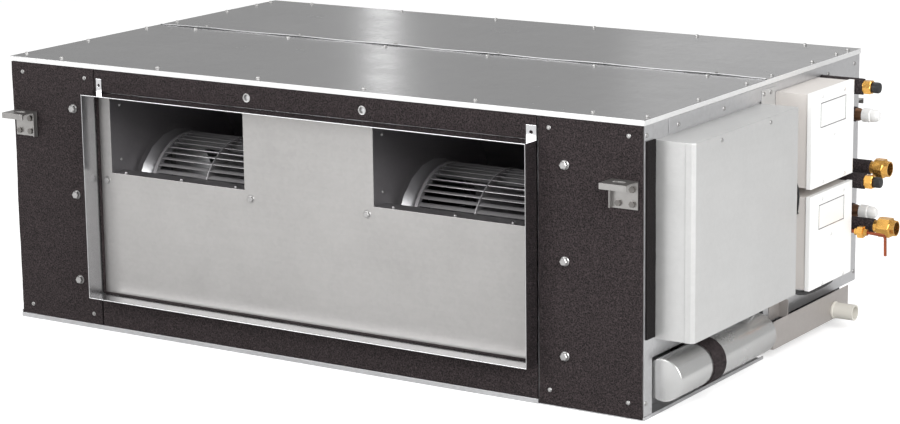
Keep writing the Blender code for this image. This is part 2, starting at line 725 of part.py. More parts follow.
def build_shaft(material):
    reach = FAN_X + SCROLL_WIDTH / 2 + SHAFT_OVERHANG
    chamfer = 0.0015
    profile = [(-reach, SHAFT_RADIUS - chamfer), (-reach + chamfer, SHAFT_RADIUS),
               (reach - chamfer, SHAFT_RADIUS), (reach, SHAFT_RADIUS - chamfer)]
    shaft = turned_object("fan_shaft", material, (0, 0, 0), (1, 0, 0), profile, 20)
    shaft.location = (0, FAN_Y, FAN_Z)
    return shade_round(shaft)


def build_rotor(materials):
    axis = bpy.data.objects.new("fan_axis", None)
    bpy.context.scene.collection.objects.link(axis)
    axis.location = (0, FAN_Y, FAN_Z)
    pieces = [build_shaft(materials["steel"]),
              build_wheel("wheel_left", -FAN_X, materials["galvanised"]),
              build_wheel("wheel_right", FAN_X, materials["galvanised"])]
    for piece in pieces:
        piece.parent = axis
        piece.location = (piece.location.x, 0, 0)


def build_motor(material):
    """Double-shaft fan motor: round shell with end bells and resilient rings, bored for the shaft."""
    half = MOTOR_LENGTH / 2
    bore = SHAFT_RADIUS + RUNNING
    profile = [(-half - 0.012, bore), (-half - 0.012, 0.026), (-half, 0.030), (-half, MOTOR_RADIUS - 0.014),
               (-half + 0.014, MOTOR_RADIUS), (half - 0.014, MOTOR_RADIUS), (half, MOTOR_RADIUS - 0.014),
               (half, 0.030), (half + 0.012, 0.026), (half + 0.012, bore)]
    motor = turned_object("fan_motor", material, (0, FAN_Y, FAN_Z), (1, 0, 0), profile, 20, closed=True)
    return shade_round(motor)


def build_motor_cradle(material):
    """Cradle: two ring plates that clasp the motor, standing on a foot plate."""
    outer = MOTOR_RADIUS + 0.010
    foot = PANEL_BOTTOM
    outline = []
    for k in range(11):
        angle = math.radians(-20 + 220 * k / 10)
        outline.append((FAN_Y + outer * math.cos(angle), FAN_Z + outer * math.sin(angle)))
    outline += [(FAN_Y - CRADLE_FOOT, foot + CRADLE_PLATE), (FAN_Y - CRADLE_FOOT, foot),
                (FAN_Y + CRADLE_FOOT, foot), (FAN_Y + CRADLE_FOOT, foot + CRADLE_PLATE)]
    hole = circle(FAN_Y, FAN_Z, MOTOR_RADIUS + 4 * SEAT, 20)
    plates = []
    for side in (-1, 1):
        x0, x1 = sorted((side * 0.066, side * (0.066 + CRADLE_PLATE)))
        plates.append(slab_object("motor_cradle", material, "X", x0, x1, outline, [hole]))
    foot_plate = box_object("foot_plate", material, -0.085, 0.085, FAN_Y - CRADLE_FOOT - 0.01,
                            FAN_Y + CRADLE_FOOT + 0.01, foot, foot + CRADLE_PLATE / 2)
    cradle = fuse([plates[0], plates[1], foot_plate])
    cradle.name = "motor_cradle"
    return cradle


def build_bearing(name, side, material):
    """Outer shaft bearing on three arms that are screwed to the scroll's side plate."""
    face = side * (FAN_X + SCROLL_WIDTH / 2 + SHEET + SEAT)
    arm_reach = EYE_RADIUS + 0.024
    hub = turned_object(name, material, (face, FAN_Y, FAN_Z), (side, 0, 0),
                        [(-0.004, SHAFT_RADIUS + SEAT), (-0.004, 0.023), (0.018, 0.023),
                         (0.018, SHAFT_RADIUS + SEAT)], 20, closed=True)
    for k in range(3):
        angle = math.radians(90 + 120 * k)
        turn = Matrix.Translation((face, FAN_Y, FAN_Z)) @ Matrix.Rotation(angle, 4, "X")
        bm = bmesh.new()
        x0, x1 = sorted((side * 0.003, side * 0.006))
        add_box(bm, x0, x1, 0.018, arm_reach, -0.006, 0.006)
        foot = bmesh.new()
        x0, x1 = sorted((0.0, side * 0.005))
        add_box(foot, x0, x1, EYE_RADIUS + 0.0135, arm_reach + 0.002, -0.009, 0.009)
        for piece in (bm, foot):
            bmesh.ops.transform(piece, matrix=turn, verts=piece.verts)
        combine(hub, make_object("arm", bm, material), "UNION")
        combine(hub, make_object("foot", foot, material), "UNION")
    return shade_round(hub)


# Coil

def coil_point(depth, height):
    """The Y and Z of a point given by its depth and height in the slanted coil."""
    y = COIL_Y + depth * math.cos(COIL_TILT) + height * math.sin(COIL_TILT)
    z = COIL_Z - depth * math.sin(COIL_TILT) + height * math.cos(COIL_TILT)
    return y, z


def build_coil_fins(material):
    half = COIL_LENGTH / 2
    fins = box_object("coil_fins", material, -half, half, -COIL_DEPTH / 2, COIL_DEPTH / 2,
                      -COIL_HEIGHT / 2, COIL_HEIGHT / 2)
    fins.location = (0, COIL_Y, COIL_Z)
    fins.rotation_euler = (-COIL_TILT, 0, 0)


def build_tube_sheet(name, side, material):
    """End plate of the coil, with a foot that stands on the floor of the drain pan."""
    inner = COIL_LENGTH / 2 + SEAT
    depth = COIL_DEPTH / 2 + TUBE_SHEET_MARGIN
    low = coil_point(-depth, -COIL_HEIGHT / 2)
    back = coil_point(depth, -COIL_HEIGHT / 2)
    floor = PAN_FLOOR + SEAT
    outline = [coil_point(-depth, COIL_HEIGHT / 2), low, (low[0] + TUBE_SHEET_MARGIN, floor), (back[0], floor),
               back, coil_point(depth, COIL_HEIGHT / 2)]
    x0, x1 = sorted((side * inner, side * (inner + TUBE_SHEET)))
    return slab_object(name, material, "X", x0, x1, outline)


def fit_return_bends(sheet, material):
    """Copper return bends that stand out of the left end plate."""
    bends = bmesh.new()
    pitch = COIL_HEIGHT / BENDS_PER_ROW
    arch = pitch / 4
    face = -COIL_LENGTH / 2 - SEAT - TUBE_SHEET
    for row in range(BEND_ROWS):
        depth = (row - (BEND_ROWS - 1) / 2) * COIL_DEPTH / BEND_ROWS
        for k in range(BENDS_PER_ROW):
            middle = pitch * (k + 0.5) - COIL_HEIGHT / 2
            path = [(face + HEAD_SINK, *coil_point(depth, middle - arch))]
            for step in range(4):
                angle = math.pi * step / 3
                path.append((face - 0.006 - arch * math.sin(angle),
                             *coil_point(depth, middle - arch * math.cos(angle))))
            path.append((face + HEAD_SINK, *coil_point(depth, middle + arch)))
            add_tube(bends, path, BEND_TUBE_R, 6)
    combine(sheet, make_object("bends", bends, material), "UNION")


# Drain

def build_drain_pan(material):
    """Moulded pan under the coil, with a channel cut through its right end wall."""
    left = -SIDE_X + SHEET + SEAT
    right = TROUGH_INNER_X - SEAT
    front = 0.040
    rear = REAR - SHEET - 2 * SEAT
    pan = box_object("drain_pan", material, left, right, front, rear, PANEL_BOTTOM, PAN_TOP)
    tray = box_object("tray", material, left + PAN_WALL, right - PAN_WALL, front + PAN_WALL,
                      rear - PAN_WALL, PAN_FLOOR, PAN_TOP + 0.01)
    combine(pan, tray, "DIFFERENCE")
    channel = box_object("channel", material, right - 2 * PAN_WALL, right + 0.01, 0.150, 0.250,
                         PAN_FLOOR + 0.003, PAN_TOP + 0.02)
    return combine(pan, channel, "DIFFERENCE")


def build_drain_trough(material):
    """Open trough under the pipes: folded walls, a hole for the spout and a screwed tab in front."""
    x0 = TROUGH_INNER_X
    x1 = TROUGH_OUTER_X
    section = folded_sheet([(x0, PAN_FLOOR + 0.002), (x0, TROUGH_BOTTOM), (x1, TROUGH_BOTTOM),
                            (x1, TROUGH_TOP)], SHEET)
    trough = slab_object("drain_trough", material, "Y", TROUGH_FRONT_Y, TROUGH_REAR_Y, section)
    for y in (TROUGH_FRONT_Y, TROUGH_REAR_Y - SHEET):
        end = box_object("end_wall", material, x0 + SHEET / 2, x1 - SHEET / 2, y, y + SHEET,
                         TROUGH_BOTTOM + SHEET / 2, TROUGH_END_TOP)
        combine(trough, end, "UNION")
    bore = turned_object("spout_hole", material, (x1 - 0.01, SPOUT_Y, SPOUT_Z), (1, 0, 0),
                         [(0.0, SPOUT_BORE), (0.02, SPOUT_BORE)], 16)
    combine(trough, bore, "DIFFERENCE")
    tab = folded_sheet([(SIDE_MOUNT_X, 0.050), (SIDE_MOUNT_X, 0.092), (x1, 0.092)], -SHEET)
    tab_object = slab_object("trough_tab", material, "Z", TROUGH_TOP - 0.006, 0.105, tab)
    return combine(trough, tab_object, "UNION")


def build_drain_spout(material):
    """Plastic drain spout with a flange on the trough's outer wall."""
    profile = [(0.0, SPOUT_BORE), (0.0, SPOUT_RADIUS + 0.0015), (0.003, SPOUT_RADIUS + 0.0015),
               (0.004, SPOUT_RADIUS), (SPOUT_LENGTH, SPOUT_RADIUS), (SPOUT_LENGTH, SPOUT_BORE)]
    origin = (TROUGH_OUTER_X + SEAT, SPOUT_Y, SPOUT_Z)
    return shade_round(turned_object("drain_spout", material, origin, (1, 0, 0), profile, 20, closed=True))


# Accumulator

def build_accumulator(material):
    """Accumulator cylinder with rounded ends and a short pipe to the side panel."""
    length = TANK_REAR_Y - TANK_FRONT_Y
    profile = [(0.0, 0.0), (0.0, TANK_RADIUS - 0.005), (0.0015, TANK_RADIUS - 0.0015), (0.005, TANK_RADIUS),
               (length - 0.005, TANK_RADIUS), (length - 0.0015, TANK_RADIUS - 0.0015),
               (length, TANK_RADIUS - 0.005), (length, 0.0)]
    tank = turned_object("accumulator", material, (TANK_X, TANK_FRONT_Y, TANK_Z), (0, 1, 0), profile, TANK_SIDES)
    bm = bmesh.new()
    y = TANK_REAR_Y - 0.024
    z = RECESS_TOP + 0.014
    corners = [(TANK_X, y, TANK_Z + TANK_RADIUS - 0.004), (TANK_X, y, z), (SIDE_MOUNT_X, y, z)]
    add_tube(bm, rounded_path(corners, 0.008), 0.005, 8)
    combine(tank, make_object("stub", bm, material), "UNION")
    return shade_round(tank)


def build_tank_band(material):
    radius = TANK_RADIUS + SEAT
    width = BAND_REAR_Y - BAND_FRONT_Y
    profile = [(0.0, radius), (0.0, radius + BAND_THICKNESS), (width, radius + BAND_THICKNESS), (width, radius)]
    origin = (TANK_X, BAND_FRONT_Y, TANK_Z)
    return shade_round(turned_object("accumulator_band", material, origin, (0, 1, 0), profile, TANK_SIDES, closed=True))


def build_tank_saddle(material):
    """Block with a hollow back that carries the accumulator on the recess wall."""
    hollow = TANK_RADIUS + BAND_THICKNESS + 5 * SEAT
    wall = RECESS_X + SEAT
    edge = 0.716
    spread = math.acos((TANK_X - edge) / hollow)
    outline = [(wall, TANK_Z + 0.036), (wall, TANK_Z - 0.036)]
    steps = 8
    for k in range(steps + 1):
        angle = math.pi + spread - 2 * spread * k / steps
        outline.append((TANK_X + hollow * math.cos(angle), TANK_Z + hollow * math.sin(angle)))
    return slab_object("accumulator_saddle", material, "Y", BAND_FRONT_Y + 0.004, BAND_REAR_Y - 0.004, outline)


# Electrical box

def build_electrical_box(material):
    """Open tray on the side panel, with an ear at its upper rear corner."""
    x0 = SIDE_MOUNT_X
    x1 = x0 + EBOX_DEPTH - SHEET - SEAT
    y0 = EBOX_FRONT_Y
    y1 = EBOX_REAR_Y - SEAT
    cut = EBOX_CHAMFER + SHEET
    outline = [(x0, y0), (x1 - cut, y0), (x1, y0 + cut), (x1, y1), (x0, y1)]
    tray = slab_object("electrical_box", material, "Z", EBOX_BOTTOM, EBOX_TOP, outline)
    far = x1 + 0.01
    inside = [(x0 + SHEET, y0 + SHEET), (x1 - cut, y0 + SHEET), (far, y0 + cut + SHEET + 0.01),
              (far, y1 - SHEET), (x0 + SHEET, y1 - SHEET)]
    hollow = slab_object("hollow", material, "Z", EBOX_BOTTOM + SHEET, EBOX_TOP - SHEET, inside)
    combine(tray, hollow, "DIFFERENCE")
    web = box_object("ear_web", material, x0 + 0.0025, x0 + 0.040, y1 - SHEET / 2, y1 + 0.0030,
                     EBOX_TOP - 0.014, EBOX_TOP - 0.002)
    ear = box_object("ear", material, x0 + 0.0023, x0 + 0.0038, y1 + 0.0010, y1 + 0.056,
                     EBOX_TOP - 0.014, EBOX_TOP + 0.024)
    return fuse([tray, web, ear])


def build_electrical_cover(material):
    """Cover that wraps the tray's front and rear walls, chamfered along its front edge."""
    x1 = SIDE_MOUNT_X + EBOX_DEPTH
    lip = x1 - 0.018
    y0 = EBOX_FRONT_Y - SEAT - SHEET
    y1 = EBOX_REAR_Y + SHEET
    line = [(lip, y0), (x1 - EBOX_CHAMFER, y0), (x1, y0 + EBOX_CHAMFER), (x1, y1), (lip, y1)]
    return slab_object("electrical_cover", material, "Z", EBOX_BOTTOM, EBOX_TOP, folded_sheet(line, SHEET))


def build_control_board(material):
    """Circuit board on four posts, with its relays, transformer and terminal strips."""
    x0 = SIDE_MOUNT_X + SHEET + SEAT
    board_x = x0 + 0.012
    y0, y1 = EBOX_FRONT_Y + 0.043, EBOX_REAR_Y - 0.112
    z0, z1 = EBOX_BOTTOM + 0.038, EBOX_TOP - 0.039
    pieces = [box_object("control_board", material, board_x, board_x + 0.002, y0, y1, z0, z1)]
    for y in (y0 + 0.012, y1 - 0.012):
        for z in (z0 + 0.012, z1 - 0.012):
            pieces.append(turned_object("post", material, (x0, y, z), (1, 0, 0),
                                        [(0.0, 0.004), (0.0125, 0.004)], 8))
    blocks = [(0.015, 0.070, z0 + 0.020, z0 + 0.070, 0.034), (0.090, 0.125, z0 + 0.025, z0 + 0.055, 0.018),
              (0.140, 0.175, z0 + 0.025, z0 + 0.055, 0.018), (0.015, 0.230, z1 - 0.035, z1 - 0.015, 0.014),
              (0.190, 0.230, z0 + 0.020, z0 + 0.200, 0.016), (0.060, 0.120, z0 + 0.120, z0 + 0.180, 0.010)]
    for near, far, low, high, tall in blocks:
        pieces.append(box_object("block", material, board_x + 0.001, board_x + 0.002 + tall,
                                 y0 + near, y0 + far, low, high))
    return fuse(pieces)


# Valve boxes

def build_valve_box(level, bottom, materials):
    """One piping cover: an open tray on the side panel and a white lid over its rim."""
    x0 = SIDE_MOUNT_X
    x1 = x0 + VBOX_DEPTH - SHEET - SEAT
    top = bottom + VBOX_HEIGHT
    tray = box_object("valve_box_" + level, materials["galvanised"], x0, x1, VBOX_FRONT_Y, VBOX_REAR_Y,
                      bottom, top)
    hollow = box_object("hollow", materials["galvanised"], x0 + SHEET, x1 + 0.01, VBOX_FRONT_Y + SHEET,
                        VBOX_REAR_Y - SHEET, bottom + SHEET, top - SHEET)
    combine(tray, hollow, "DIFFERENCE")
    add_expansion_valve(tray, x0 + SHEET, bottom + 0.060, materials["brass"])
    lid_x = x0 + VBOX_DEPTH
    grow = SHEET + SEAT
    lid = box_object("valve_lid_" + level, materials["white"], lid_x - LID_LIP, lid_x, VBOX_FRONT_Y - grow,
                     VBOX_REAR_Y + grow, bottom - grow, top + grow)
    inner = box_object("inner", materials["white"], lid_x - LID_LIP - 0.01, lid_x - SHEET,
                       VBOX_FRONT_Y - SEAT, VBOX_REAR_Y + SEAT, bottom - SEAT, top + SEAT)
    combine(lid, inner, "DIFFERENCE")


def add_expansion_valve(tray, x, z, material):
    """Expansion valve on the tray's back: pipe stub, brass body and round coil."""
    y = (VBOX_FRONT_Y + VBOX_REAR_Y) / 2
    stub = turned_object("stub", material, (x - HEAD_SINK, y, z), (1, 0, 0), [(0.0, 0.008), (0.030, 0.008)], 10)
    body = turned_object("body", material, (x + 0.030, y, z - 0.020), (0, 0, 1),
                         [(0.0, 0.0), (0.0, 0.012), (0.040, 0.012), (0.040, 0.020), (0.072, 0.020),
                          (0.072, 0.0)], 12)
    combine(tray, combine(stub, body, "UNION"), "UNION")


# Refrigerant pipes: place on the side, tube radius, sleeve radius, sleeve end and tube end along X
PIPE_PLACES = {
    "service_upper": (0.270, 0.497, 0.00635, 0.0160, 0.813, 0.829),
    "capped_upper": (0.330, 0.430, 0.00800, 0.0150, 0.772, 0.800),
    "suction_upper": (0.335, 0.326, 0.00950, 0.0145, 0.803, 0.832),
    "service_lower": (0.270, 0.312, 0.00635, 0.0160, 0.820, 0.836),
    "capped_lower": (0.330, 0.237, 0.00800, 0.0150, 0.770, 0.798),
    "suction_lower": (0.290, 0.2205, 0.00950, 0.0145, 0.833, 0.868),
    "charge_lower": (0.2575, 0.2135, 0.00400, 0.0, 0.0, 0.806),
}
PIPES = {name: (y, z * HEIGHT_SHARE, *sizes) for name, (y, z, *sizes) in PIPE_PLACES.items()}
HEADER_ENDS = {"upper": (0.298 * HEIGHT_SHARE, 0.507 * HEIGHT_SHARE),
               "lower": (0.100 * HEIGHT_SHARE, 0.282 * HEIGHT_SHARE)}
HEADER_JOINS = {name: values[1] for name, values in PIPES.items()}
HEADER_JOINS["service_lower"] = 0.262 * HEIGHT_SHARE
CHARGE_Y, CHARGE_Z = PIPES["charge_lower"][:2]
CHARGE_END = PIPES["charge_lower"][-1]
HEADER_X = COIL_LENGTH / 2 + 0.024
HEADER_RADIUS = 0.0135
FEEDERS = 4
FEEDER_STEP = 0.035
FLARE_NUT_FLAT = 0.036
SERVICE_NUT_FLAT = 0.025


def side_holes():
    """Holes through the right rear panel, one for each pipe or its sleeve."""
    return [(y, z, max(sleeve, tube)) for y, z, tube, sleeve, sleeve_end, tube_end in PIPES.values()]


def header_y(level, z):
    """Where a circuit's slanted header stands at a given height."""
    y, middle_z = PIPES["suction_" + level][:2]
    return y + (z - middle_z) * math.tan(COIL_TILT)


def build_circuit(level, material):
    """One circuit's copper: a slanted header, its feeders, and insulated pipes out through the side."""
    low, high = HEADER_ENDS[level]
    sheet_x = COIL_LENGTH / 2 + 2 * SEAT + TUBE_SHEET
    header = bmesh.new()
    add_tube(header, [(HEADER_X, header_y(level, z), z) for z in (low, high)], HEADER_RADIUS, 12)
    body = make_object("pipes_" + level, header, material)
    for k in range(FEEDERS):
        z = low + (high - low) * (k + 0.5) / FEEDERS
        y = header_y(level, z)
        sheet_y = y - FEEDER_STEP * math.cos(COIL_TILT)
        sheet_z = z + FEEDER_STEP * math.sin(COIL_TILT)
        corners = [(sheet_x, sheet_y, sheet_z), (HEADER_X, sheet_y, sheet_z), (HEADER_X, y, z)]
        feeder = bmesh.new()
        add_tube(feeder, rounded_path(corners, 0.010, 2), BEND_TUBE_R, 6)
        combine(body, make_object("feeder", feeder, material), "UNION")
    for name in [pipe for pipe in PIPES if pipe.endswith(level)]:
        join_z = HEADER_JOINS[name]
        y, z, tube, sleeve, sleeve_end, tube_end = PIPES[name]
        pipe = bmesh.new()
        if name.startswith("suction"):
            path = [Vector((HEADER_X - 0.004, y, z))]
        else:
            corners = [(HEADER_X, header_y(level, join_z), join_z), (HEADER_X, y, join_z)]
            corners += [(HEADER_X, y, z)] if z != join_z else []
            path = rounded_path([*corners, (SIDE_X, y, z)], 0.010, 2)[:-1]
        radii = [tube] * len(path)
        if sleeve > 0:
            start = SIDE_X - SHEET - 0.004
            for x, radius in ((start, tube), (start, sleeve), (sleeve_end - 0.002, sleeve),
                              (sleeve_end, sleeve - 0.002), (sleeve_end, tube)):
                path.append(Vector((x, y, z)))
                radii.append(radius)
        path.append(Vector((tube_end - 0.004, y, z)))
        path.append(Vector((tube_end, y, z)))
        radii += [tube, tube]
        if name.startswith("suction"):
            add_tube(pipe, path, radii, 12, bore=tube - 0.0015, bore_depth=0.030, flare=0.0030)
        else:
            add_tube(pipe, path, radii, 12 if sleeve > 0 else 8)
        combine(body, make_object("pipe", pipe, material), "UNION")
    return shade_round(body)


def build_flare_nut(level, material):
    """Large open flare nut: neck, hexagon and round nose, bored through."""
    y, z, tube, sleeve, sleeve_end, tube_end = PIPES["suction_" + level]
    corner = FLARE_NUT_FLAT / 2 / math.cos(math.pi / 6)
    start = sleeve_end + SEAT
    nose = tube_end + 0.010
    bore = tube + SEAT
    mouth = tube + 0.0036
    seat = tube_end - 0.0068
    profile = [(start, bore), (start, 0.0125), (start + 0.008, 0.0125), (start + 0.009, corner - 0.002),
               (start + 0.011, corner, True), (nose - 0.011, corner, True), (nose - 0.009, 0.0165),
               (nose, 0.0155), (nose, mouth), (seat, mouth), (seat - 0.001, bore)]
    nut = turned_object("flare_nut_" + level, material, (0, y, z), (1, 0, 0), profile, 12, closed=True)
    return shade_round(nut, 25.0)


def build_service_ends(level, materials):
    """The closed brass nut on a service pipe and the black cap in front of it."""
    y, z, tube, sleeve, sleeve_end, tube_end = PIPES["service_" + level]
    corner = SERVICE_NUT_FLAT / 2 / math.cos(math.pi / 6)
    start = sleeve_end + SEAT
    end = tube_end + 0.0015
    bore = tube + SEAT
    profile = [(start, bore), (start, corner - 0.002), (start + 0.002, corner, True),
               (end - 0.002, corner, True), (end, corner - 0.002), (end, bore)]
    nut = turned_object("service_nut_" + level, materials["brass"], (0, y, z), (1, 0, 0), profile, 12, closed=True)
    shade_round(nut, 25.0)
    start = end + SEAT
    profile = [(start, 0.0), (start, 0.0095), (start + 0.002, 0.0108), (start + 0.012, 0.0108),
               (start + 0.015, 0.0095), (start + 0.016, 0.0)]
    shade_round(turned_object("service_cap_" + level, materials["black_plastic"], (0, y, z), (1, 0, 0), profile, 12))


def build_pale_cap(level, material):
    y, z, tube, sleeve, sleeve_end, tube_end = PIPES["capped_" + level]
    start = sleeve_end + 0.014
    inner = tube + SEAT
    profile = [(tube_end + SEAT, 0.0), (tube_end + SEAT, inner), (start, inner), (start, 0.0137),
               (start + 0.016, 0.0137), (start + 0.018, 0.0120), (start + 0.028, 0.0120),
               (start + 0.034, 0.0085), (start + 0.034, 0.0)]
    shade_round(turned_object("pale_cap_" + level, material, (0, y, z), (1, 0, 0), profile, 14))


def build_charging_valve(material):
    """Brass charging valve with a thin tube that turns down at its end."""
    start = CHARGE_END + SEAT
    profile = [(start, 0.0), (start, 0.0070), (start + 0.006, 0.0070), (start + 0.007, 0.0125, True),
               (start + 0.018, 0.0125, True), (start + 0.019, 0.0075), (start + 0.026, 0.0060),
               (start + 0.026, 0.0)]
    valve = turned_object("charging_valve", material, (0, CHARGE_Y, CHARGE_Z), (1, 0, 0), profile, 12)
    corners = [(start + 0.024, CHARGE_Y, CHARGE_Z), (CHARGE_END + 0.063, CHARGE_Y, CHARGE_Z - 0.002),
               (CHARGE_END + 0.064, CHARGE_Y, CHARGE_Z - 0.042)]
    tube = bmesh.new()
    add_tube(tube, rounded_path(corners, 0.006), 0.0032, 8)
    return shade_round(combine(valve, make_object("tube", tube, material), "UNION"), 25.0)


# Cables
BOX_BACK = EBOX_REAR_Y + SEAT
LID_FRONT = VBOX_FRONT_Y - SEAT
LINK_CABLE_RADIUS = 0.0022
LINK_CABLE = [(0.774, BOX_BACK, 0.372), (0.775, 0.012, 0.372), (0.780, 0.030, 0.360), (0.784, 0.044, 0.335),
              (0.782, 0.050, 0.305), (0.776, 0.057, 0.286), (0.773, LID_FRONT - 0.006, 0.283),
              (0.773, LID_FRONT, 0.283)]
SENSOR_CABLE_RADIUS = 0.0048
SENSOR_CABLE = [(0.770, BOX_BACK, 0.156), (0.771, 0.014, 0.155), (0.778, 0.045, 0.136), (0.781, 0.090, 0.124),
                (0.780, 0.150, 0.121), (0.775, 0.210, 0.120), (0.759, 0.250, 0.114), (0.740, 0.266, 0.112),
                (0.732, 0.267, 0.112), (SIDE_MOUNT_X, 0.267, 0.112)]


def build_cable(name, points, radius, material):
    """A cable as a curve with round section, through a smooth line of points."""
    curve = bpy.data.curves.new(name, "CURVE")
    curve.dimensions = "3D"
    curve.bevel_depth = radius
    curve.bevel_resolution = 2
    curve.use_fill_caps = True
    spline = curve.splines.new("POLY")
    path = smooth_path([(x, y, z * HEIGHT_SHARE) for x, y, z in points], 2)
    spline.points.add(len(path) - 1)
    for point, co in zip(spline.points, path):
        point.co = (*co, 1.0)
    curve.materials.append(material)
    obj = bpy.data.objects.new(name, curve)
    bpy.context.scene.collection.objects.link(obj)
    return obj


def smooth_path(points, steps):
    """Points along a Catmull-Rom curve through the given points."""
    knots = [Vector(point) for point in points]
    knots = [2 * knots[0] - knots[1], *knots, 2 * knots[-1] - knots[-2]]
    path = []
    for a, b, c, d in zip(knots, knots[1:], knots[2:], knots[3:]):
        for k in range(steps):
            t = k / steps
            path.append(0.5 * (2 * b + (c - a) * t + (2 * a - 5 * b + 4 * c - d) * t ** 2
                               + (3 * b - a - 3 * c + d) * t ** 3))
    path.append(knots[-2])
    return path


# Hangers

def build_hanger(name, side, face, outward, material):
    """Hanger bracket: a plate on the casing, a slotted shelf on top and a lip turned down."""
    x0, x1 = sorted((side * HANGER_INNER_X, side * HANGER_OUTER_X))
    wall = face + outward * SEAT
    line = [(wall, HANGER_BOTTOM), (wall, HANGER_TOP), (wall + outward * HANGER_REACH, HANGER_TOP),
            (wall + outward * HANGER_REACH, HANGER_TOP - HANGER_LIP)]
    section = folded_sheet(line, HANGER_PLATE if outward > 0 else -HANGER_PLATE)
    bracket = slab_object(name, material, "X", x0, x1, mirror_thickness(section, wall, outward))
    centre_x = (x0 + x1) / 2
    centre_y = wall + outward * HANGER_REACH / 2
    half = (SLOT_LENGTH - SLOT_WIDTH) / 2
    slot = []
    for end in (1, -1):
        for k in range(5):
            angle = math.radians(-90 + 45 * k) + (0 if end > 0 else math.pi)
            slot.append((centre_x + end * half + SLOT_WIDTH / 2 * math.cos(angle),
                         centre_y + SLOT_WIDTH / 2 * math.sin(angle)))
    cutter = slab_object("slot", material, "Z", HANGER_TOP - 0.01, HANGER_TOP + 0.01, slot)
    combine(bracket, cutter, "DIFFERENCE")
    bolts = [(side * x, wall + outward * HANGER_PLATE, z)
             for x in (HANGER_INNER_X + 0.016, HANGER_OUTER_X - 0.010)
             for z in (HANGER_BOTTOM + 0.010, HANGER_TOP - 0.013)]
    return fit_bolts(bracket, bolts, (0, outward, 0), material)


def mirror_thickness(section, wall, outward):
    """Keep the section outside the casing wall that it stands on."""
    clear = min(outward * (y - wall) for y, z in section)
    shift = -outward * min(clear, 0.0)
    return [(y + shift, z) for y, z in section]


def build_model():
    for obj in list(bpy.data.objects):
        bpy.data.objects.remove(obj)
    materials = make_materials()
    galvanised = materials["galvanised"]
    foam = materials["foam"]
    steel = materials["steel"]

    build_base_pan(galvanised)
    build_rear_base_pan(galvanised)
    build_front_top_panel(galvanised)
    build_rear_top_panel(galvanised)
    build_left_side_panel(galvanised)
    build_right_front_panel(galvanised)
    build_right_rear_panel(galvanised)
    build_side_rail(galvanised)
    build_front_frame(galvanised)
    build_rear_inlet_frame(galvanised)
    build_blower_deck(galvanised)
    build_collar(galvanised)
    build_collar_seal(foam)

    build_front_foam(foam)
    build_side_foam(foam)

    build_scroll("scroll_left", -FAN_X, galvanised)
    build_scroll("scroll_right", FAN_X, galvanised)
    build_rotor(materials)
    build_motor(materials["motor"])
    build_motor_cradle(galvanised)
    build_bearing("bearing_left", -1, steel)
    build_bearing("bearing_right", 1, steel)

    build_coil_fins(materials["fins"])
    build_tube_sheet("tube_sheet_right", 1, galvanised)
    fit_return_bends(build_tube_sheet("tube_sheet_left", -1, galvanised), materials["copper"])
    build_drain_pan(materials["pan"])
    build_drain_trough(galvanised)
    build_drain_spout(materials["spout_plastic"])

    build_accumulator(steel)
    build_tank_band(foam)
    build_tank_saddle(foam)

    build_electrical_box(galvanised)
    build_electrical_cover(galvanised)
    build_control_board(materials["board"])
    for level, bottom in (("upper", UPPER_BOX_BOTTOM), ("lower", LOWER_BOX_BOTTOM)):
        build_valve_box(level, bottom, materials)

    for level in ("upper", "lower"):
        build_circuit(level, materials["copper"])
        build_flare_nut(level, materials["brass"])
        build_service_ends(level, materials)
        build_pale_cap(level, materials["clear_plastic"])
    build_charging_valve(materials["brass"])

    build_cable("link_cable", LINK_CABLE, LINK_CABLE_RADIUS, materials["black_plastic"])
    build_cable("sensor_cable", SENSOR_CABLE, SENSOR_CABLE_RADIUS, materials["black_plastic"])

    for end, face, outward in (("front", FRONT, -1), ("rear", REAR, 1)):
        for side_name, side in (("left", -1), ("right", 1)):
            build_hanger("hanger_" + end + "_" + side_name, side, face, outward, galvanised)


build_model()
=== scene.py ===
import json
import math

import bmesh
import bpy
from bpy.props import FloatProperty, FloatVectorProperty, IntProperty, PointerProperty
from mathutils import Matrix, Vector, noise
from mathutils.bvhtree import BVHTree

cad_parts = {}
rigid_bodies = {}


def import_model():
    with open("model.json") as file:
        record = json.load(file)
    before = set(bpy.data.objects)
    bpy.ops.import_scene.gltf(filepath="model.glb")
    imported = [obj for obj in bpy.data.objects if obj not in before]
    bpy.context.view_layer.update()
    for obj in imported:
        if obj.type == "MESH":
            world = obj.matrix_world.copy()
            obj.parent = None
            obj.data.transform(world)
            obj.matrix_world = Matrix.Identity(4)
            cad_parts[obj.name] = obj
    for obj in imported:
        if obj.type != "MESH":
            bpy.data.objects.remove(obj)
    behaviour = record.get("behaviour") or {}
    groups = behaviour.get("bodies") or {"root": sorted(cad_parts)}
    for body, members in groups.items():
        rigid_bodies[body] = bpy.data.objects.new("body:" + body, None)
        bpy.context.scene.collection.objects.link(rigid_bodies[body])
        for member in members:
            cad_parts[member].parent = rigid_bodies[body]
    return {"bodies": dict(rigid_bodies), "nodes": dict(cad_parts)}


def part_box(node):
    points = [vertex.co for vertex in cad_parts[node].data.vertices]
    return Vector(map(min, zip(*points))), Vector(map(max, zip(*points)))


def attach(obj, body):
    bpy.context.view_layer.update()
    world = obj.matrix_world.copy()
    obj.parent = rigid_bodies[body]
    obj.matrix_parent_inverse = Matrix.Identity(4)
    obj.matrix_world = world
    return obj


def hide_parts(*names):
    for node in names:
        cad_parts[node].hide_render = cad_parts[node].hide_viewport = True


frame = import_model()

bl_info = {
    "name": "Ducted air conditioner",
    "version": (1, 0, 0),
    "blender": (4, 5, 0),
    "location": "3D View > Sidebar > Air conditioner",
    "description": "Finishes and fine pieces of a ceiling-void ducted air conditioner",
    "category": "Object",
}

NODE = frame["nodes"]

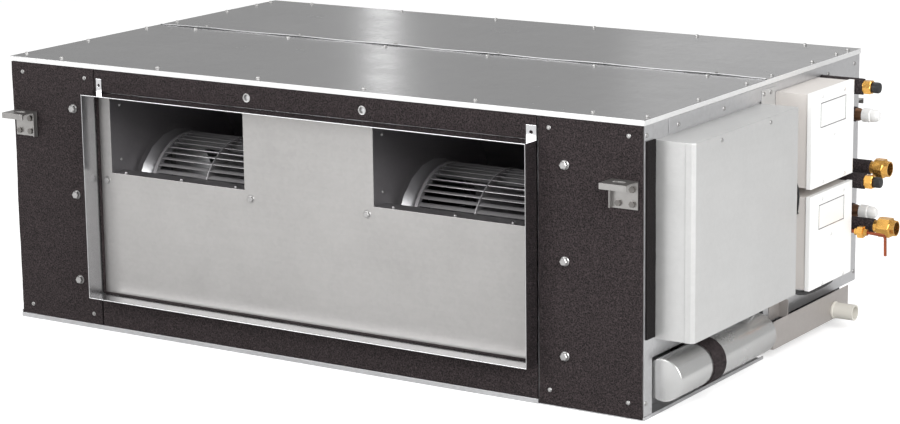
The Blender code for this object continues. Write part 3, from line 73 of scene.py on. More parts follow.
# Faces of the CAD pieces
TOP_Z = 0.540
FOAM_Y = -0.445
SIDE_X = 0.7232
DECK_Y = -0.4364
COLLAR_SIDE_X = 0.5088
COLLAR_TOP_Z = 0.4848
SHEET = 0.0015
HEAD_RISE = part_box("front_top_panel")[1].z - TOP_Z
BOLT_RISE = FOAM_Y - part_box("foam_left")[0].y
DECK_RISE = DECK_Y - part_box("blower_deck")[0].y
RAY_START = 2.0

# Seam between the top sheets
SEAM_REACH = 0.722
SEAM_STATIONS = 72
SEAM_SCREW_STEP = 0.2407
SEAM_CLEARANCE = 0.0001
SEAM_GAP = 0.0008
SEAM_BOW = 0.0013
SEAM_SHEET = 0.0010

# Hangers and the collar's gasket
BRACE_X = (0.6606, 0.6626)
BRACE_Y = (0.4476, 0.4560)
BRACE_Z = (0.3815, 0.4298)
BOLT_END_Y = 0.4533
BOLT_TOP_Z = 0.424
BOLT_INNER_X = 0.668
SEAL_DRAW = 0.003

# Screws and eyelets
FLANGE_RISE = 0.0007
FLANGE_TAPER = 0.88
HEAD_UPRIGHT = 0.78
HEAD_TAPER = 0.82
PRESS_DEPTH = 0.0004
EYELET_RIM = ((-0.0035, 0.0062), (0.0005, 0.0062), (0.0006, 0.0070), (0.0004, 0.0084), (-0.0012, 0.0086))
EYELET_SINK = 0.0006

# Blowers and coil
FAN_X = 0.314
FAN_Y = -0.235
FAN_Z = 0.250
MOUTH_FLOOR = 0.3235
SCROLL_START = 0.141
SCROLL_END = 0.224
SCROLL_STEPS = 20
INLET_RING = 0.1275
BLADE_LEAN = math.radians(-50)
BLADE_SEAT = 0.46
RIM_WIDTH = 0.007
RIM_SHEET = 0.0026
RIM_INSET = 0.0012
PLATE_BAND = (0.0036, 0.0016)
PLATE_SHEET = 0.0022
PLATE_INSET = 0.0006
HUB_RADIUS = 0.024
HUB_LENGTH = 0.044
COIL_CENTRE = (0.0, 0.243, 0.294)
COIL_TILT = math.radians(-24)
BEND_END_X = -0.6512

# Accumulator and pipes; each tube axis is y, z and the bare tube's radius
TANK_X = 0.741
TANK_Z = 0.068
TANK_RADIUS = 0.0395
CHARGE_TUBE = 0.0411
TUBE_AXES = {
    "pipes_upper": ((0.270, 0.497, 0.00635), (0.330, 0.430, 0.008), (0.335, 0.326, 0.0095)),
    "pipes_lower": (
        (0.270, 0.312, 0.00635),
        (0.330, 0.237, 0.008),
        (0.290, 0.2205, 0.0095),
        (0.2575, 0.2135, 0.004),
    ),
}


def tint(name, description, default):
    return FloatVectorProperty(name=name, description=description, subtype="COLOR", default=default)


def length(name, description, default, least):
    return FloatProperty(name=name, description=description, default=default, min=least, unit="LENGTH")


def turn(name, description, degrees):
    return FloatProperty(name=name, description=description, default=math.radians(degrees), unit="ROTATION")


def amount(name, description, default, least=0.0):
    return FloatProperty(name=name, description=description, default=default, min=least)


class AIRUNIT_PG_casing(bpy.types.PropertyGroup):
    top: tint("Top sheet", "Zinc sheet of the two top panels", (0.31, 0.31, 0.312))
    side: tint("Side sheet", "Zinc sheet of the sides and the rear", (0.60, 0.60, 0.61))
    # The front sheet's zinc is darker than the side sheets' as painted shade of the outlet collar.
    deck: tint("Front sheet", "Plain sheet behind the outlet collar", (0.395, 0.386, 0.379))
    tray: tint("Drain sheet", "Sheet of the drain trough", (0.44, 0.412, 0.395))
    housing: tint("Electrical housing", "Coated sheet of the electrical housing", (0.57, 0.57, 0.565))
    spangle: length("Zinc crystal", "Width of one zinc crystal", 0.007, 0.001)
    fold: length("Fold radius", "Rounding of a folded or cut sheet edge", 0.0005, 0.0001)


class AIRUNIT_PG_foam(bpy.types.PropertyGroup):
    colour: tint("Foam", "Black closed-cell sheet on the front", (0.0108, 0.0082, 0.0086))
    cell: length("Cell", "Width of one foam cell", 0.0027, 0.0005)
    waves: length("Surface waves", "How far the glued foam dips", 0.0007, 0.0)
    grid: length("Mesh step", "Spacing of the foam's mesh", 0.009, 0.003)
    wander: length("Edge wander", "How far a torn upright edge strays", 0.0022, 0.0)


class AIRUNIT_PG_fixings(bpy.types.PropertyGroup):
    flange: length("Screw flange", "Radius of a screw's flange", 0.0050, 0.002)
    head: length("Screw head", "Radius of a screw's hexagon", 0.0034, 0.001)
    washer: length("Bolt washer", "Radius of a bolt's washer", 0.0092, 0.003)
    bolt: length("Bolt head", "Radius of a front bolt's hexagon", 0.007808, 0.002)
    washer_rise: length("Washer height", "Thickness of a bolt's washer", 0.0015, 0.0003)
    steel: tint("Plated steel", "Zinc-plated screws and bolts", (0.46, 0.455, 0.45))


class AIRUNIT_PG_blowers(bpy.types.PropertyGroup):
    blades: IntProperty(name="Blades", description="Blades round one wheel", default=50, min=12)
    radius: length("Wheel radius", "Outer radius of a wheel", 0.1255, 0.05)
    chord: length("Blade depth", "Depth of one blade", 0.0195, 0.005)
    camber: length("Blade camber", "Rise of a blade's curve", 0.0026, 0.0)
    width: length("Wheel width", "Width of a wheel", 0.2696, 0.05)
    zinc: tint("Blade sheet", "Zinc sheet of the wheels", (0.52, 0.51, 0.52))
    # The scroll sheet is darker than the casing zinc as painted shade inside the blower mouths.
    scroll: tint("Scroll sheet", "Zinc sheet of the scroll housings", (0.42, 0.405, 0.42))
    cutoff: length("Cut-off radius", "Distance of the scroll's cut-off edge from the shaft", 0.178, 0.14)
    motor: tint("Motor paint", "Paint of the fan motor", (0.035, 0.038, 0.042))


class AIRUNIT_PG_coil(bpy.types.PropertyGroup):
    fins: IntProperty(name="Fins", description="Number of fins on the coil", default=588, min=50)
    length: length("Length", "Length of the fin pack", 1.294, 0.2)
    height: length("Height", "Slant height of the fin pack", 0.470, 0.1)
    depth: length("Depth", "Thickness of the fin pack", 0.088, 0.02)
    fin: tint("Fin sheet", "Aluminium of the fins", (0.66, 0.68, 0.70))


class AIRUNIT_PG_pipes(bpy.types.PropertyGroup):
    brass: tint("Brass", "Nuts and unions", (0.80, 0.44, 0.11))
    copper: tint("Copper", "Refrigerant tubes", (0.38, 0.105, 0.052))
    black: tint("Black plastic", "Caps and cable sheaths", (0.012, 0.012, 0.013))
    pale: tint("Pale plastic", "Caps of the spare stubs", (0.80, 0.80, 0.79))
    spout: tint("Spout", "Drain spout", (0.70, 0.68, 0.62))
    paint: tint("White paint", "Coat of the valve-box lids", (0.92, 0.92, 0.91))
    ink: tint("Label outline", "Printed outline of a bare label", (0.02, 0.02, 0.022))


class AIRUNIT_PG_studio(bpy.types.PropertyGroup):
    azimuth: turn("Azimuth", "Camera angle round the unit", 33.064)
    elevation: turn("Elevation", "Camera angle above the floor", 12.574)
    roll: turn("Roll", "Turn of the camera about its own line of sight", -0.722)
    place: FloatVectorProperty(
        name="Camera",
        description="Place of the camera",
        subtype="XYZ",
        unit="LENGTH",
        default=(2.9175, -4.4288, 1.3949),
    )
    lens: amount("Lens", "Focal length in millimetres", 107.3, 20)
    floor: tint("Floor", "Pale floor", (0.72, 0.72, 0.72))
    air: amount("Surroundings", "Light of the plain white surroundings", 0.50)
    glow: amount("Floor glow", "Light that the camera sees the white floor give off", 0.55)
    key: amount("Right light", "Power of the large light on the right, in watts", 160)
    fill: amount("Front light", "Power of the large light in front, in watts", 165)
    top: amount("Top light", "Power of the light above, in watts", 34)
    rear: amount("Rear light", "Power of the low light behind, in watts", 5)
    strip: amount("Strip light", "Power of the tall strip behind, in watts", 0.8)


def add_node(tree, kind, sockets=None, **settings):
    made = tree.nodes.new(kind)
    for name, value in settings.items():
        setattr(made, name, value)
    for name, value in (sockets or {}).items():
        target = made.inputs[name]
        if isinstance(value, bpy.types.NodeSocket):
            tree.links.new(value, target)
        else:
            target.default_value = value
    return made


def out(tree, kind, sockets=None, output=0, **settings):
    """One output of a new node."""
    return add_node(tree, kind, sockets, **settings).outputs[output]


def maths(tree, kind, *terms):
    """The terms combined from left to right by one kind of arithmetic."""
    total = terms[0]
    for term in terms[1:]:
        total = out(tree, "ShaderNodeMath", {0: total, 1: term}, operation=kind)
    return total


def swing(tree, value, share, middle=0.5):
    """How far a value lies from its middle, times a share."""
    return maths(tree, "MULTIPLY", maths(tree, "SUBTRACT", value, middle), share)


def socket_kind(value):
    if isinstance(value, str):
        return value
    if isinstance(value, tuple):
        return "Color" if len(value) == 4 else "Vector"
    return "Int" if isinstance(value, int) else "Float"


def start_group(name, kind, inputs, outputs):
    """A node group; each input has a default, or the name of its kind where it has none."""
    group = bpy.data.node_groups.new(name, kind)
    for label, value in inputs.items():
        sort = "NodeSocket" + socket_kind(value)
        socket = group.interface.new_socket(name=label, in_out="INPUT", socket_type=sort)
        if not isinstance(value, str):
            socket.default_value = value
    for label, sort in outputs.items():
        group.interface.new_socket(name=label, in_out="OUTPUT", socket_type="NodeSocket" + sort)
    return group, group.nodes.new("NodeGroupInput").outputs, group.nodes.new("NodeGroupOutput").inputs


# Shader groups

def start_skin(name, colour, numbers):
    ends = {"Color": "Color", "Roughness": "Float", "Height": "Float"}
    return start_group(name, "ShaderNodeTree", {"Colour": (*colour, 1), **numbers}, ends)


def end_skin(tree, given, result, share, rough, height):
    """The colour varies by a share over the surface."""
    grey = out(tree, "ShaderNodeCombineXYZ", {0: share, 1: share, 2: share})
    mix = add_node(tree, "ShaderNodeMix", data_type="RGBA", blend_type="MULTIPLY")
    mix.inputs["Factor"].default_value = 1.0
    tree.links.new(given["Colour"], mix.inputs["A"])
    tree.links.new(grey, mix.inputs["B"])
    tree.links.new(mix.outputs["Result"], result["Color"])
    tree.links.new(rough, result["Roughness"])
    tree.links.new(height, result["Height"])
    return tree


def stretched(tree, *scale):
    place = out(tree, "ShaderNodeTexCoord", output="Object")
    return out(tree, "ShaderNodeMapping", {"Vector": place, "Scale": scale})


def cloud(tree, place, scale, detail, roughness=0.5, distortion=0.0):
    values = {
        "Vector": place,
        "Scale": scale,
        "Detail": detail,
        "Roughness": roughness,
        "Distortion": distortion,
    }
    return out(tree, "ShaderNodeTexNoise", values, "Fac")


def rolled_zinc_group():
    """Zinc crystals, faint rolling lines and handling marks."""
    numbers = {
        "Crystal Size": 0.007,
        "Crystal Contrast": 0.10,
        "Rolling Contrast": 0.10,
        "Mark Contrast": 0.12,
        "Base Roughness": 0.38,
    }
    tree, given, result = start_skin("rolled_zinc", (0.6, 0.6, 0.6), numbers)
    whole = stretched(tree, 1, 1, 1)
    density = maths(tree, "DIVIDE", 1.0, given["Crystal Size"])
    values = {"Vector": whole, "Scale": density, "Randomness": 1.0}
    crystal = out(tree, "ShaderNodeTexVoronoi", values, "Color")
    facet = out(tree, "ShaderNodeSeparateColor", {0: crystal})
    rolling = cloud(tree, stretched(tree, 3, 160, 160), 1.0, 3.0)
    marks = cloud(tree, whole, 5.5, 6.0, 0.6)
    rubbed = cloud(tree, stretched(tree, 70, 9, 70), 1.0, 4.0)
    facets = swing(tree, facet, given["Crystal Contrast"])
    smears = swing(tree, marks, given["Mark Contrast"])
    lines = [swing(tree, value, given["Rolling Contrast"]) for value in (rolling, rubbed)]
    rough = maths(tree, "ADD", given["Base Roughness"], smears, facets)
    height = maths(tree, "ADD", maths(tree, "MULTIPLY", facet, 0.35), maths(tree, "MULTIPLY", rolling, 0.65))
    return end_skin(tree, given, result, maths(tree, "ADD", 1.0, facets, smears, *lines), rough, height)


def foam_cells_group():
    """Torn closed cells with lighter rims, as on glued insulation foam."""
    numbers = {"Cell Size": 0.0022, "Cell Contrast": 4.0, "Scuffs": 0.5}
    tree, given, result = start_skin("foam_cells", (0.02, 0.02, 0.02), numbers)
    whole = stretched(tree, 1, 1, 1)
    density = maths(tree, "DIVIDE", 1.0, given["Cell Size"])
    cell = out(tree, "ShaderNodeTexVoronoi", {"Vector": whole, "Scale": density}, "Distance")
    tone = cloud(tree, whole, density, 3.0, 0.7)
    scuff = cloud(tree, stretched(tree, 22, 22, 7), 1.0, 8.0, 0.5, 0.6)
    rub = out(tree, "ShaderNodeMapRange", {"Value": scuff, "From Min": 0.63, "From Max": 0.78})
    grain = swing(tree, tone, given["Cell Contrast"], 0.42)
    rims = swing(tree, cell, maths(tree, "MULTIPLY", given["Cell Contrast"], 0.7), 0.35)
    patches = swing(tree, cloud(tree, whole, 9.0, 5.0), 0.5)
    share = maths(tree, "ADD", 1.0, grain, rims, patches, maths(tree, "MULTIPLY", rub, given["Scuffs"]))
    rough = maths(tree, "ADD", 0.78, maths(tree, "MULTIPLY", tone, 0.2))
    height = maths(tree, "ADD", cell, tone)
    return end_skin(tree, given, result, maths(tree, "MAXIMUM", share, 0.15), rough, height)


def sprayed_coat_group():
    """Fine ripple of a sprayed or moulded skin, with light grime."""
    numbers = {"Ripple Size": 0.0012, "Grime": 0.06, "Base Roughness": 0.45}
    tree, given, result = start_skin("sprayed_coat", (0.8, 0.8, 0.8), numbers)
    whole = stretched(tree, 1, 1, 1)
    ripple = cloud(tree, whole, maths(tree, "DIVIDE", 1.0, given["Ripple Size"]), 2.0)
    grime = cloud(tree, whole, 14.0, 7.0, 0.65)
    specks = swing(tree, cloud(tree, whole, 160.0, 2.0), 0.6)
    dirt = maths(tree, "ADD", maths(tree, "SUBTRACT", grime, 0.5), specks)
    share = maths(tree, "ADD", 1.0, maths(tree, "MULTIPLY", dirt, given["Grime"]))
    rough = maths(tree, "ADD", given["Base Roughness"], swing(tree, grime, 0.25))
    return end_skin(tree, given, result, share, rough, ripple)


def turned_metal_group():
    """Tool rings and tarnish of turned or drawn brass and copper."""
    numbers = {"Ring Pitch": 0.0009, "Tarnish": 0.35, "Base Roughness": 0.26}
    tree, given, result = start_skin("turned_metal", (0.7, 0.4, 0.1), numbers)
    whole = stretched(tree, 1, 1, 1)
    density = maths(tree, "MULTIPLY", maths(tree, "DIVIDE", 1.0, given["Ring Pitch"]), 0.16)
    values = {"Vector": whole, "Scale": density, "Distortion": 1.5, "Detail": 2.0}
    rings = out(tree, "ShaderNodeTexWave", values, "Fac")
    stain = cloud(tree, whole, 75.0, 6.0, 0.65)
    share = maths(tree, "ADD", 1.0, swing(tree, stain, given["Tarnish"]), swing(tree, rings, 0.08))
    rough = maths(tree, "ADD", given["Base Roughness"], swing(tree, stain, 0.4))
    return end_skin(tree, given, result, share, rough, maths(tree, "ADD", rings, stain))


GROUP_MAKERS = {
    "rolled_zinc": rolled_zinc_group,
    "foam_cells": foam_cells_group,
    "sprayed_coat": sprayed_coat_group,
    "turned_metal": turned_metal_group,
}


# Materials

def finish(name, group, colour, values, bump, metallic=0.0, specular=0.5):
    """A material whose colour, roughness and fine relief come from one shader group."""
    if name in bpy.data.materials:
        return bpy.data.materials[name]
    effect = bpy.data.node_groups.get(group) or GROUP_MAKERS[group]()
    made = bpy.data.materials.new(name)
    made.use_nodes = True
    made.diffuse_color = (*colour, 1)
    tree = made.node_tree
    tree.nodes.clear()
    skin = add_node(tree, "ShaderNodeGroup", node_tree=effect)
    skin.inputs["Colour"].default_value = (*colour, 1)
    for label, value in values.items():
        skin.inputs[label].default_value = value
    strength, distance = bump
    relief = {"Strength": strength, "Distance": distance, "Height": skin.outputs["Height"]}
    shader = {
        "Base Color": skin.outputs["Color"],
        "Roughness": skin.outputs["Roughness"],
        "Metallic": metallic,
        "Specular IOR Level": specular,
        "Normal": out(tree, "ShaderNodeBump", relief),
    }
    add_node(tree, "ShaderNodeOutputMaterial", {"Surface": out(tree, "ShaderNodeBsdfPrincipled", shader)})
    return made


def zinc(name, colour, crystal, rolling, marks, roughness, metallic, bump=0.12):
    values = {
        "Crystal Size": bpy.context.scene.air_casing.spangle,
        "Crystal Contrast": crystal,
        "Rolling Contrast": rolling,
        "Mark Contrast": marks,
        "Base Roughness": roughness,
    }
    return finish(name, "rolled_zinc", colour, values, (bump, 0.0002), metallic)


def coat(name, colour, roughness=0.45, ripple=0.0012, grime=0.06, bump=0.10, specular=0.5):
    values = {"Ripple Size": ripple, "Grime": grime, "Base Roughness": roughness}
    return finish(name, "sprayed_coat", colour, values, (bump, 0.0002), 0.0, specular)


def turned(name, colour, roughness, tarnish):
    values = {"Tarnish": tarnish, "Base Roughness": roughness}
    return finish(name, "turned_metal", colour, values, (0.15, 0.0001), 0.95)


def foam_skin(name="black_foam_skin", share=1.0, contrast=8.0):
    foam = bpy.context.scene.air_foam
    colour = [value * share for value in foam.colour]
    values = {"Cell Size": foam.cell, "Cell Contrast": contrast}
    return finish(name, "foam_cells", colour, values, (0.9, 0.0009), 0.0, 0.25)


def plated_steel():
    return zinc("plated_steel", bpy.context.scene.air_fixings.steel, 0.03, 0.06, 0.10, 0.30, 0.9)


def drawn_copper():
    return turned("drawn_copper", bpy.context.scene.air_pipes.copper, 0.30, 0.45)


def dress(material, node):
    """The CAD piece stays and takes a finish in its own material slots."""
    for slot in NODE[node].material_slots:
        slot.material = material


# Pieces made from the CAD meshes

def merged_copy(node):
    bm = bmesh.new()
    bm.from_mesh(NODE[node].data)
    bmesh.ops.remove_doubles(bm, verts=bm.verts, dist=2e-6)
    bm.normal_update()
    return bm


def shade(bm, degrees):
    limit = math.radians(degrees)
    for face in bm.faces:
        face.smooth = True
    for edge in bm.edges:
        edge.smooth = len(edge.link_faces) == 2 and edge.calc_face_angle(0) < limit


def keep_piece(name, mesh, materials=(), replaced=(), body="unit"):
    for material in materials:
        mesh.materials.append(material)
    made = bpy.data.objects.new(name, mesh)
    bpy.context.scene.collection.objects.link(made)
    if replaced:
        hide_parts(*replaced)
    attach(made, body)
    return made


def piece_from(bm, name, materials, replaced=(), body="unit"):
    mesh = bpy.data.meshes.new(name)
    bm.to_mesh(mesh)
    bm.free()
    return keep_piece(name, mesh, materials, replaced, body)


def cut_heads(bm, axis, level, side):
    """Takes CAD screw heads off a sheet and closes the sheet under them, where the finer screws go."""
    gone = [v for v in bm.verts if (v.co[axis] - level) * side > 1e-4]
    bmesh.ops.delete(bm, geom=gone, context="VERTS")
    rim = [e for e in bm.edges if e.is_boundary]
    bmesh.ops.holes_fill(bm, edges=rim, sides=0)
    bmesh.ops.recalc_face_normals(bm, faces=bm.faces)


def prepared_copy(node, heads, edit):
    """A copied mesh with its edit made, its CAD screw heads cut off and its flat faces joined."""
    bm = merged_copy(node)
    if edit:
        edit(bm)
    if heads:
        cut_heads(bm, *heads)
    bmesh.ops.dissolve_limit(bm, angle_limit=math.radians(0.6), verts=bm.verts, edges=bm.edges)
    return bm


def folded_sheet_piece(
    node, name, materials, heads=None, fold=None, edit=None, second=None
):
    """A sheet-metal piece with rounded folds and cut edges, in place of its CAD piece.

    second says which faces take the second of the materials, by their middles.
    """
    bm = prepared_copy(node, heads, edit)
    width = fold or bpy.context.scene.air_casing.fold
    sharp = [e for e in bm.edges if len(e.link_faces) == 2 and e.calc_face_angle(0) > math.radians(28)]
    bmesh.ops.bevel(
        bm,
        geom=sharp,
        offset=width,
        offset_type="OFFSET",
        segments=2,
        profile=0.6,
        affect="EDGES",
        clamp_overlap=True,
    )
    for face in bm.faces:
        face.smooth = False
        if second:
            face.material_index = int(second(face.calc_center_median()))
    return piece_from(bm, name, materials if second else (materials,), (node,))


def smooth_piece(node, name, material, degrees=35, body="unit"):
    """A round piece with its curved faces shaded as curves, in place of its CAD piece."""
    bm = merged_copy(node)
    shade(bm, degrees)
    return piece_from(bm, name, (material,), (node,), body)


def split_piece(node, name, materials, degrees, second):
    """A round piece whose faces take one of two materials; second says which take the second."""
    bm = merged_copy(node)
    shade(bm, degrees)
    for face in bm.faces:
        face.material_index = int(second(face))
    return piece_from(bm, name, materials, (node,))


def lower_side_lip(bm):
    """The base pan's right lip is only a few millimetres high."""
    for vert in bm.verts:
        if vert.co.x > 0.72 and vert.co.z > 0.01:
            vert.co.z = 0.0065


def narrow_seal(bm):
    """The inner edge of the collar's gasket, drawn back to a thin dark line."""
    for vert in bm.verts:
        if abs(vert.co.x) < 0.504:
            vert.co.x += math.copysign(SEAL_DRAW, vert.co.x)
        if 0.079 < vert.co.z < 0.480:
            vert.co.z += math.copysign(SEAL_DRAW, vert.co.z - 0.28)


def brace_hanger(bm):
    """A bent-out edge that stiffens the hanger's plate, on its inner side."""
    middle = sum((vert.co for vert in bm.verts), Vector()) / len(bm.verts)
    side, outward = math.copysign(1, middle.x), math.copysign(1, middle.y)
    x0, x1 = sorted(side * x for x in BRACE_X)
    y0, y1 = sorted(outward * y for y in BRACE_Y)
    box_into(bm, (x0, y0, BRACE_Z[0]), (x1, y1, BRACE_Z[1]))


# The faces of the top sheets' folded front lips, which take a much lighter zinc as painted light.
def on_top_lip(spot):
    return spot.z < TOP_Z - 0.002


def on_collar_outside(spot):
    """The collar's sides and top that face the foam."""
    return abs(spot.x) > COLLAR_SIDE_X or spot.z > COLLAR_TOP_Z


def on_hanger_bolt(spot):
    return BRACE_Y[0] < abs(spot.y) < BOLT_END_Y and spot.z < BOLT_TOP_Z and abs(spot.x) > BOLT_INNER_X


def box_into(bm, low, high):
    corners = []
    for x in (low[0], high[0]):
        for y in (low[1], high[1]):
            for z in (low[2], high[2]):
                corners.append(bm.verts.new((x, y, z)))
    for face in ((0, 1, 3, 2), (4, 6, 7, 5), (0, 4, 5, 1), (2, 3, 7, 6), (0, 2, 6, 4), (1, 5, 7, 3)):
        bm.faces.new([corners[k] for k in face])


def turn_into(bm, profile, centre, sides, axis=0, hollow=False):
    """A closed body turned about a line along X or Y; profile holds (place on the line, radius).

    A hollow body's profile closes on itself.
    """
    rings = []
    for place, radius in profile:
        ring = []
        for k in range(sides if radius else 1):
            angle = 2 * math.pi * k / sides
            spot = Vector(centre)
            spot[axis] = place
            spot[1 - axis] += radius * math.cos(angle)
            spot[2] += radius * math.sin(angle)
            ring.append(bm.verts.new(spot))
        rings.append(ring)
    if hollow:
        rings.append(rings[0])
    for near, far in zip(rings, rings[1:]):
        for k in range(sides):
            corners = []
            for ring, step in ((near, k), (near, k + 1), (far, k + 1), (far, k)):
                corner = ring[step % len(ring)]
                if corner not in corners:
                    corners.append(corner)
            if len(corners) > 2:
                bm.faces.new(corners)
    for ring in () if hollow else (rings[0], rings[-1]):
        if len(ring) > 2:
            bm.faces.new(ring)
    bmesh.ops.recalc_face_normals(bm, faces=bm.faces)


def lifted_edge(level, lift):
    """Bottom and top of the rear sheet's edge."""
    return level + lift, level + lift + SEAM_SHEET


def edge_shadow(level, lift):
    """Bottom and top of the dark strip of painted shadow under the lifted edge."""
    return level, level + lift - SEAM_CLEARANCE


def seam_strip_piece(name, span, front, back, material):
    """A strip along the top sheets' seam, where the rear sheet's edge bows up between its screws."""
    bm = bmesh.new()
    rings = []
    for k in range(SEAM_STATIONS + 1):
        along = 2 * SEAM_REACH * k / SEAM_STATIONS
        lift = SEAM_GAP + SEAM_BOW * math.sin(math.pi * along / SEAM_SCREW_STEP) ** 2
        bottom, top = span(TOP_Z + SEAM_CLEARANCE, lift)
        corners = ((front, bottom), (back, bottom), (back, top), (front, top))
        rings.append([bm.verts.new((along - SEAM_REACH, y, z)) for y, z in corners])
    for a, b in zip(rings, rings[1:]):
        for k in range(4):
            bm.faces.new((a[k], a[k - 1], b[k - 1], b[k]))
    bm.faces.new(rings[0])
    bm.faces.new(rings[-1][::-1])
    bmesh.ops.recalc_face_normals(bm, faces=bm.faces)
    return piece_from(bm, name, (material,))


def scroll_line(cutoff, wall):
    """The bent wrap of a scroll in the YZ plane, from its cut-off round to the top of the mouth."""
    level = MOUTH_FLOOR - wall - FAN_Z
    start = math.pi - math.asin(level / (cutoff + wall))
    whole = math.radians(450) - start
    line = []
    for k in range(SCROLL_STEPS + 1):
        share = k / SCROLL_STEPS
        radius = cutoff + (SCROLL_END - cutoff) * share + wall
        angle = start + whole * share
        line.append((FAN_Y + radius * math.cos(angle), FAN_Z + radius * math.sin(angle)))
    return line


def open_cutoff(bm, cutoff):
    """Moves the scroll's cut-off towards the mouth, so that the wheel shows over a short lip."""
    moves = []
    for wall in (0.0, SHEET):
        moves += zip(scroll_line(SCROLL_START, wall), scroll_line(cutoff, wall))
    for vert in bm.verts:
        for (y, z), place in moves:
            if math.hypot(vert.co.y - y, vert.co.z - z) < 2e-4:
                vert.co.y, vert.co.z = place
                break


def foam_piece(node, name, seed, heads=None, skin=None, edit=None):
    """Glued foam: the CAD sheet cut into a fine grid, with a wavy face and slightly torn edges."""
    foam = bpy.context.scene.air_foam
    bm = prepared_copy(node, heads, edit)
    low = Vector(map(min, zip(*[v.co for v in bm.verts])))
    high = Vector(map(max, zip(*[v.co for v in bm.verts])))
    thin = min(range(3), key=lambda k: high[k] - low[k])
    flat = [axis for axis in range(3) if axis != thin]
    for axis in flat:
        count = max(1, round((high[axis] - low[axis]) / foam.grid))
        normal = Vector([float(k == axis) for k in range(3)])
        for k in range(1, count):
            place = low.copy()
            place[axis] = low[axis] + (high[axis] - low[axis]) * k / count
            whole = bm.verts[:] + bm.edges[:] + bm.faces[:]
            bmesh.ops.bisect_plane(bm, geom=whole, plane_co=place, plane_no=normal)
    centre = (low + high) / 2
    outward = -1 if thin == 1 else 1
    for vert in bm.verts:
        spot = vert.co * 26 + Vector((seed, seed * 2, seed * 3))
        dip = (noise.noise(spot) * 0.5 + 0.5) * foam.waves
        dip += (noise.noise(spot * 6) * 0.5 + 0.5) * foam.waves * 0.5
        if (vert.co[thin] - centre[thin]) * outward > 0:
            vert.co[thin] -= outward * dip
        for axis in flat:
            for limit, inward in ((low[axis], 1), (high[axis], -1)):
                if abs(vert.co[axis] - limit) < 1e-5:
                    stray = noise.noise(Vector((seed * 5, 0, vert.co.z * 7))) + 0.5 if axis == 0 else 0
                    vert.co[axis] += inward * (dip * 1.2 + foam.wander * max(stray, 0))
    shade(bm, 50)
    return piece_from(bm, name, (skin or foam_skin(),), (node,))


# Pieces grown by geometry nodes

def grow(name, tree, values, degrees=None, seats=(((0, 0, 0), (0, 0, 1)),)):
    """Runs one geometry-nodes tree on points, each with the way that it faces, into a plain mesh."""
    seed = bpy.data.meshes.new(name + "_seed")
    seed.from_pydata([place for place, _ in seats], [], [])
    facing = seed.attributes.new("facing", "FLOAT_VECTOR", "POINT")
    for k, (_, way) in enumerate(seats):
        facing.data[k].vector = way
    holder = bpy.data.objects.new(name + "_holder", seed)
    bpy.context.scene.collection.objects.link(holder)
    modifier = holder.modifiers.new("repeat", "NODES")
    modifier.node_group = tree
    known = {item.name: item.identifier for item in tree.interface.items_tree if item.in_out == "INPUT"}
    for label, value in values.items():
        modifier[known[label]] = value
    bpy.context.view_layer.update()
    seen = holder.evaluated_get(bpy.context.evaluated_depsgraph_get())
    mesh = bpy.data.meshes.new_from_object(seen)
    mesh.name = name
    holder.modifiers.clear()
    bpy.data.objects.remove(holder)
    bpy.data.meshes.remove(seed)
    for attribute in [a.name for a in mesh.attributes if a.name == "facing"]:
        mesh.attributes.remove(mesh.attributes[attribute])
    if degrees:
        bm = bmesh.new()
        bm.from_mesh(mesh)
        shade(bm, degrees)
        bm.to_mesh(mesh)
        bm.free()
    return mesh


def start_growth(name, sizes):
    ends = {"Geometry": "Geometry", **sizes, "Material": "Material"}
    return start_group(name, "GeometryNodeTree", ends, {"Geometry": "Geometry"})


def shape(tree, kind, sockets=None, output=0, **settings):
    return out(tree, "GeometryNode" + kind, sockets, output, **settings)


def vector(tree, x=0.0, y=0.0, z=0.0):
    return out(tree, "ShaderNodeCombineXYZ", {0: x, 1: y, 2: z})


def moved(tree, geometry, rotation=(0, 0, 0), place=(0, 0, 0)):
    return shape(tree, "Transform", {"Geometry": geometry, "Rotation": rotation, "Translation": place})


def joined(tree, *parts):
    made = add_node(tree, "GeometryNodeJoinGeometry")
    for part in parts:
        tree.links.new(part, made.inputs[0])
    return made.outputs[0]


def end_growth(tree, geometry, given, result):
    whole = shape(tree, "RealizeInstances", {"Geometry": geometry})
    coated = shape(tree, "SetMaterial", {"Geometry": whole, "Material": given["Material"]})
    tree.links.new(coated, result["Geometry"])
    return tree


def fixing_tree():
    """A flanged hexagon head on each point, turned the way that the point faces."""
    sizes = {"Flange Radius": 0.005, "Flange Height": 0.0008, "Head Radius": 0.0034, "Head Height": 0.0028}
    tree, given, result = start_growth("flanged_heads", sizes)
    low, head = given["Flange Height"], given["Head Radius"]
    tall = maths(tree, "MULTIPLY", given["Head Height"], HEAD_UPRIGHT)
    crown = maths(tree, "SUBTRACT", given["Head Height"], tall)
    parts = []
    for sides, radius, taper, depth, rise in (
        (16, given["Flange Radius"], FLANGE_TAPER, low, 0.0),
        (6, head, 1.0, tall, low),
        (6, head, HEAD_TAPER, crown, maths(tree, "ADD", low, tall)),
    ):
        values = {
            "Vertices": sides,
            "Radius Top": maths(tree, "MULTIPLY", radius, taper),
            "Radius Bottom": radius,
            "Depth": depth,
        }
        parts.append(moved(tree, shape(tree, "MeshCone", values, "Mesh"), place=vector(tree, z=rise)))
    facing = shape(tree, "InputNamedAttribute", {"Name": "facing"}, "Attribute", data_type="FLOAT_VECTOR")
    values = {
        "Points": given["Geometry"],
        "Instance": joined(tree, *parts),
        "Rotation": out(tree, "FunctionNodeAlignRotationToVector", {"Vector": facing}, axis="Z"),
    }
    return end_growth(tree, shape(tree, "InstanceOnPoints", values), given, result)


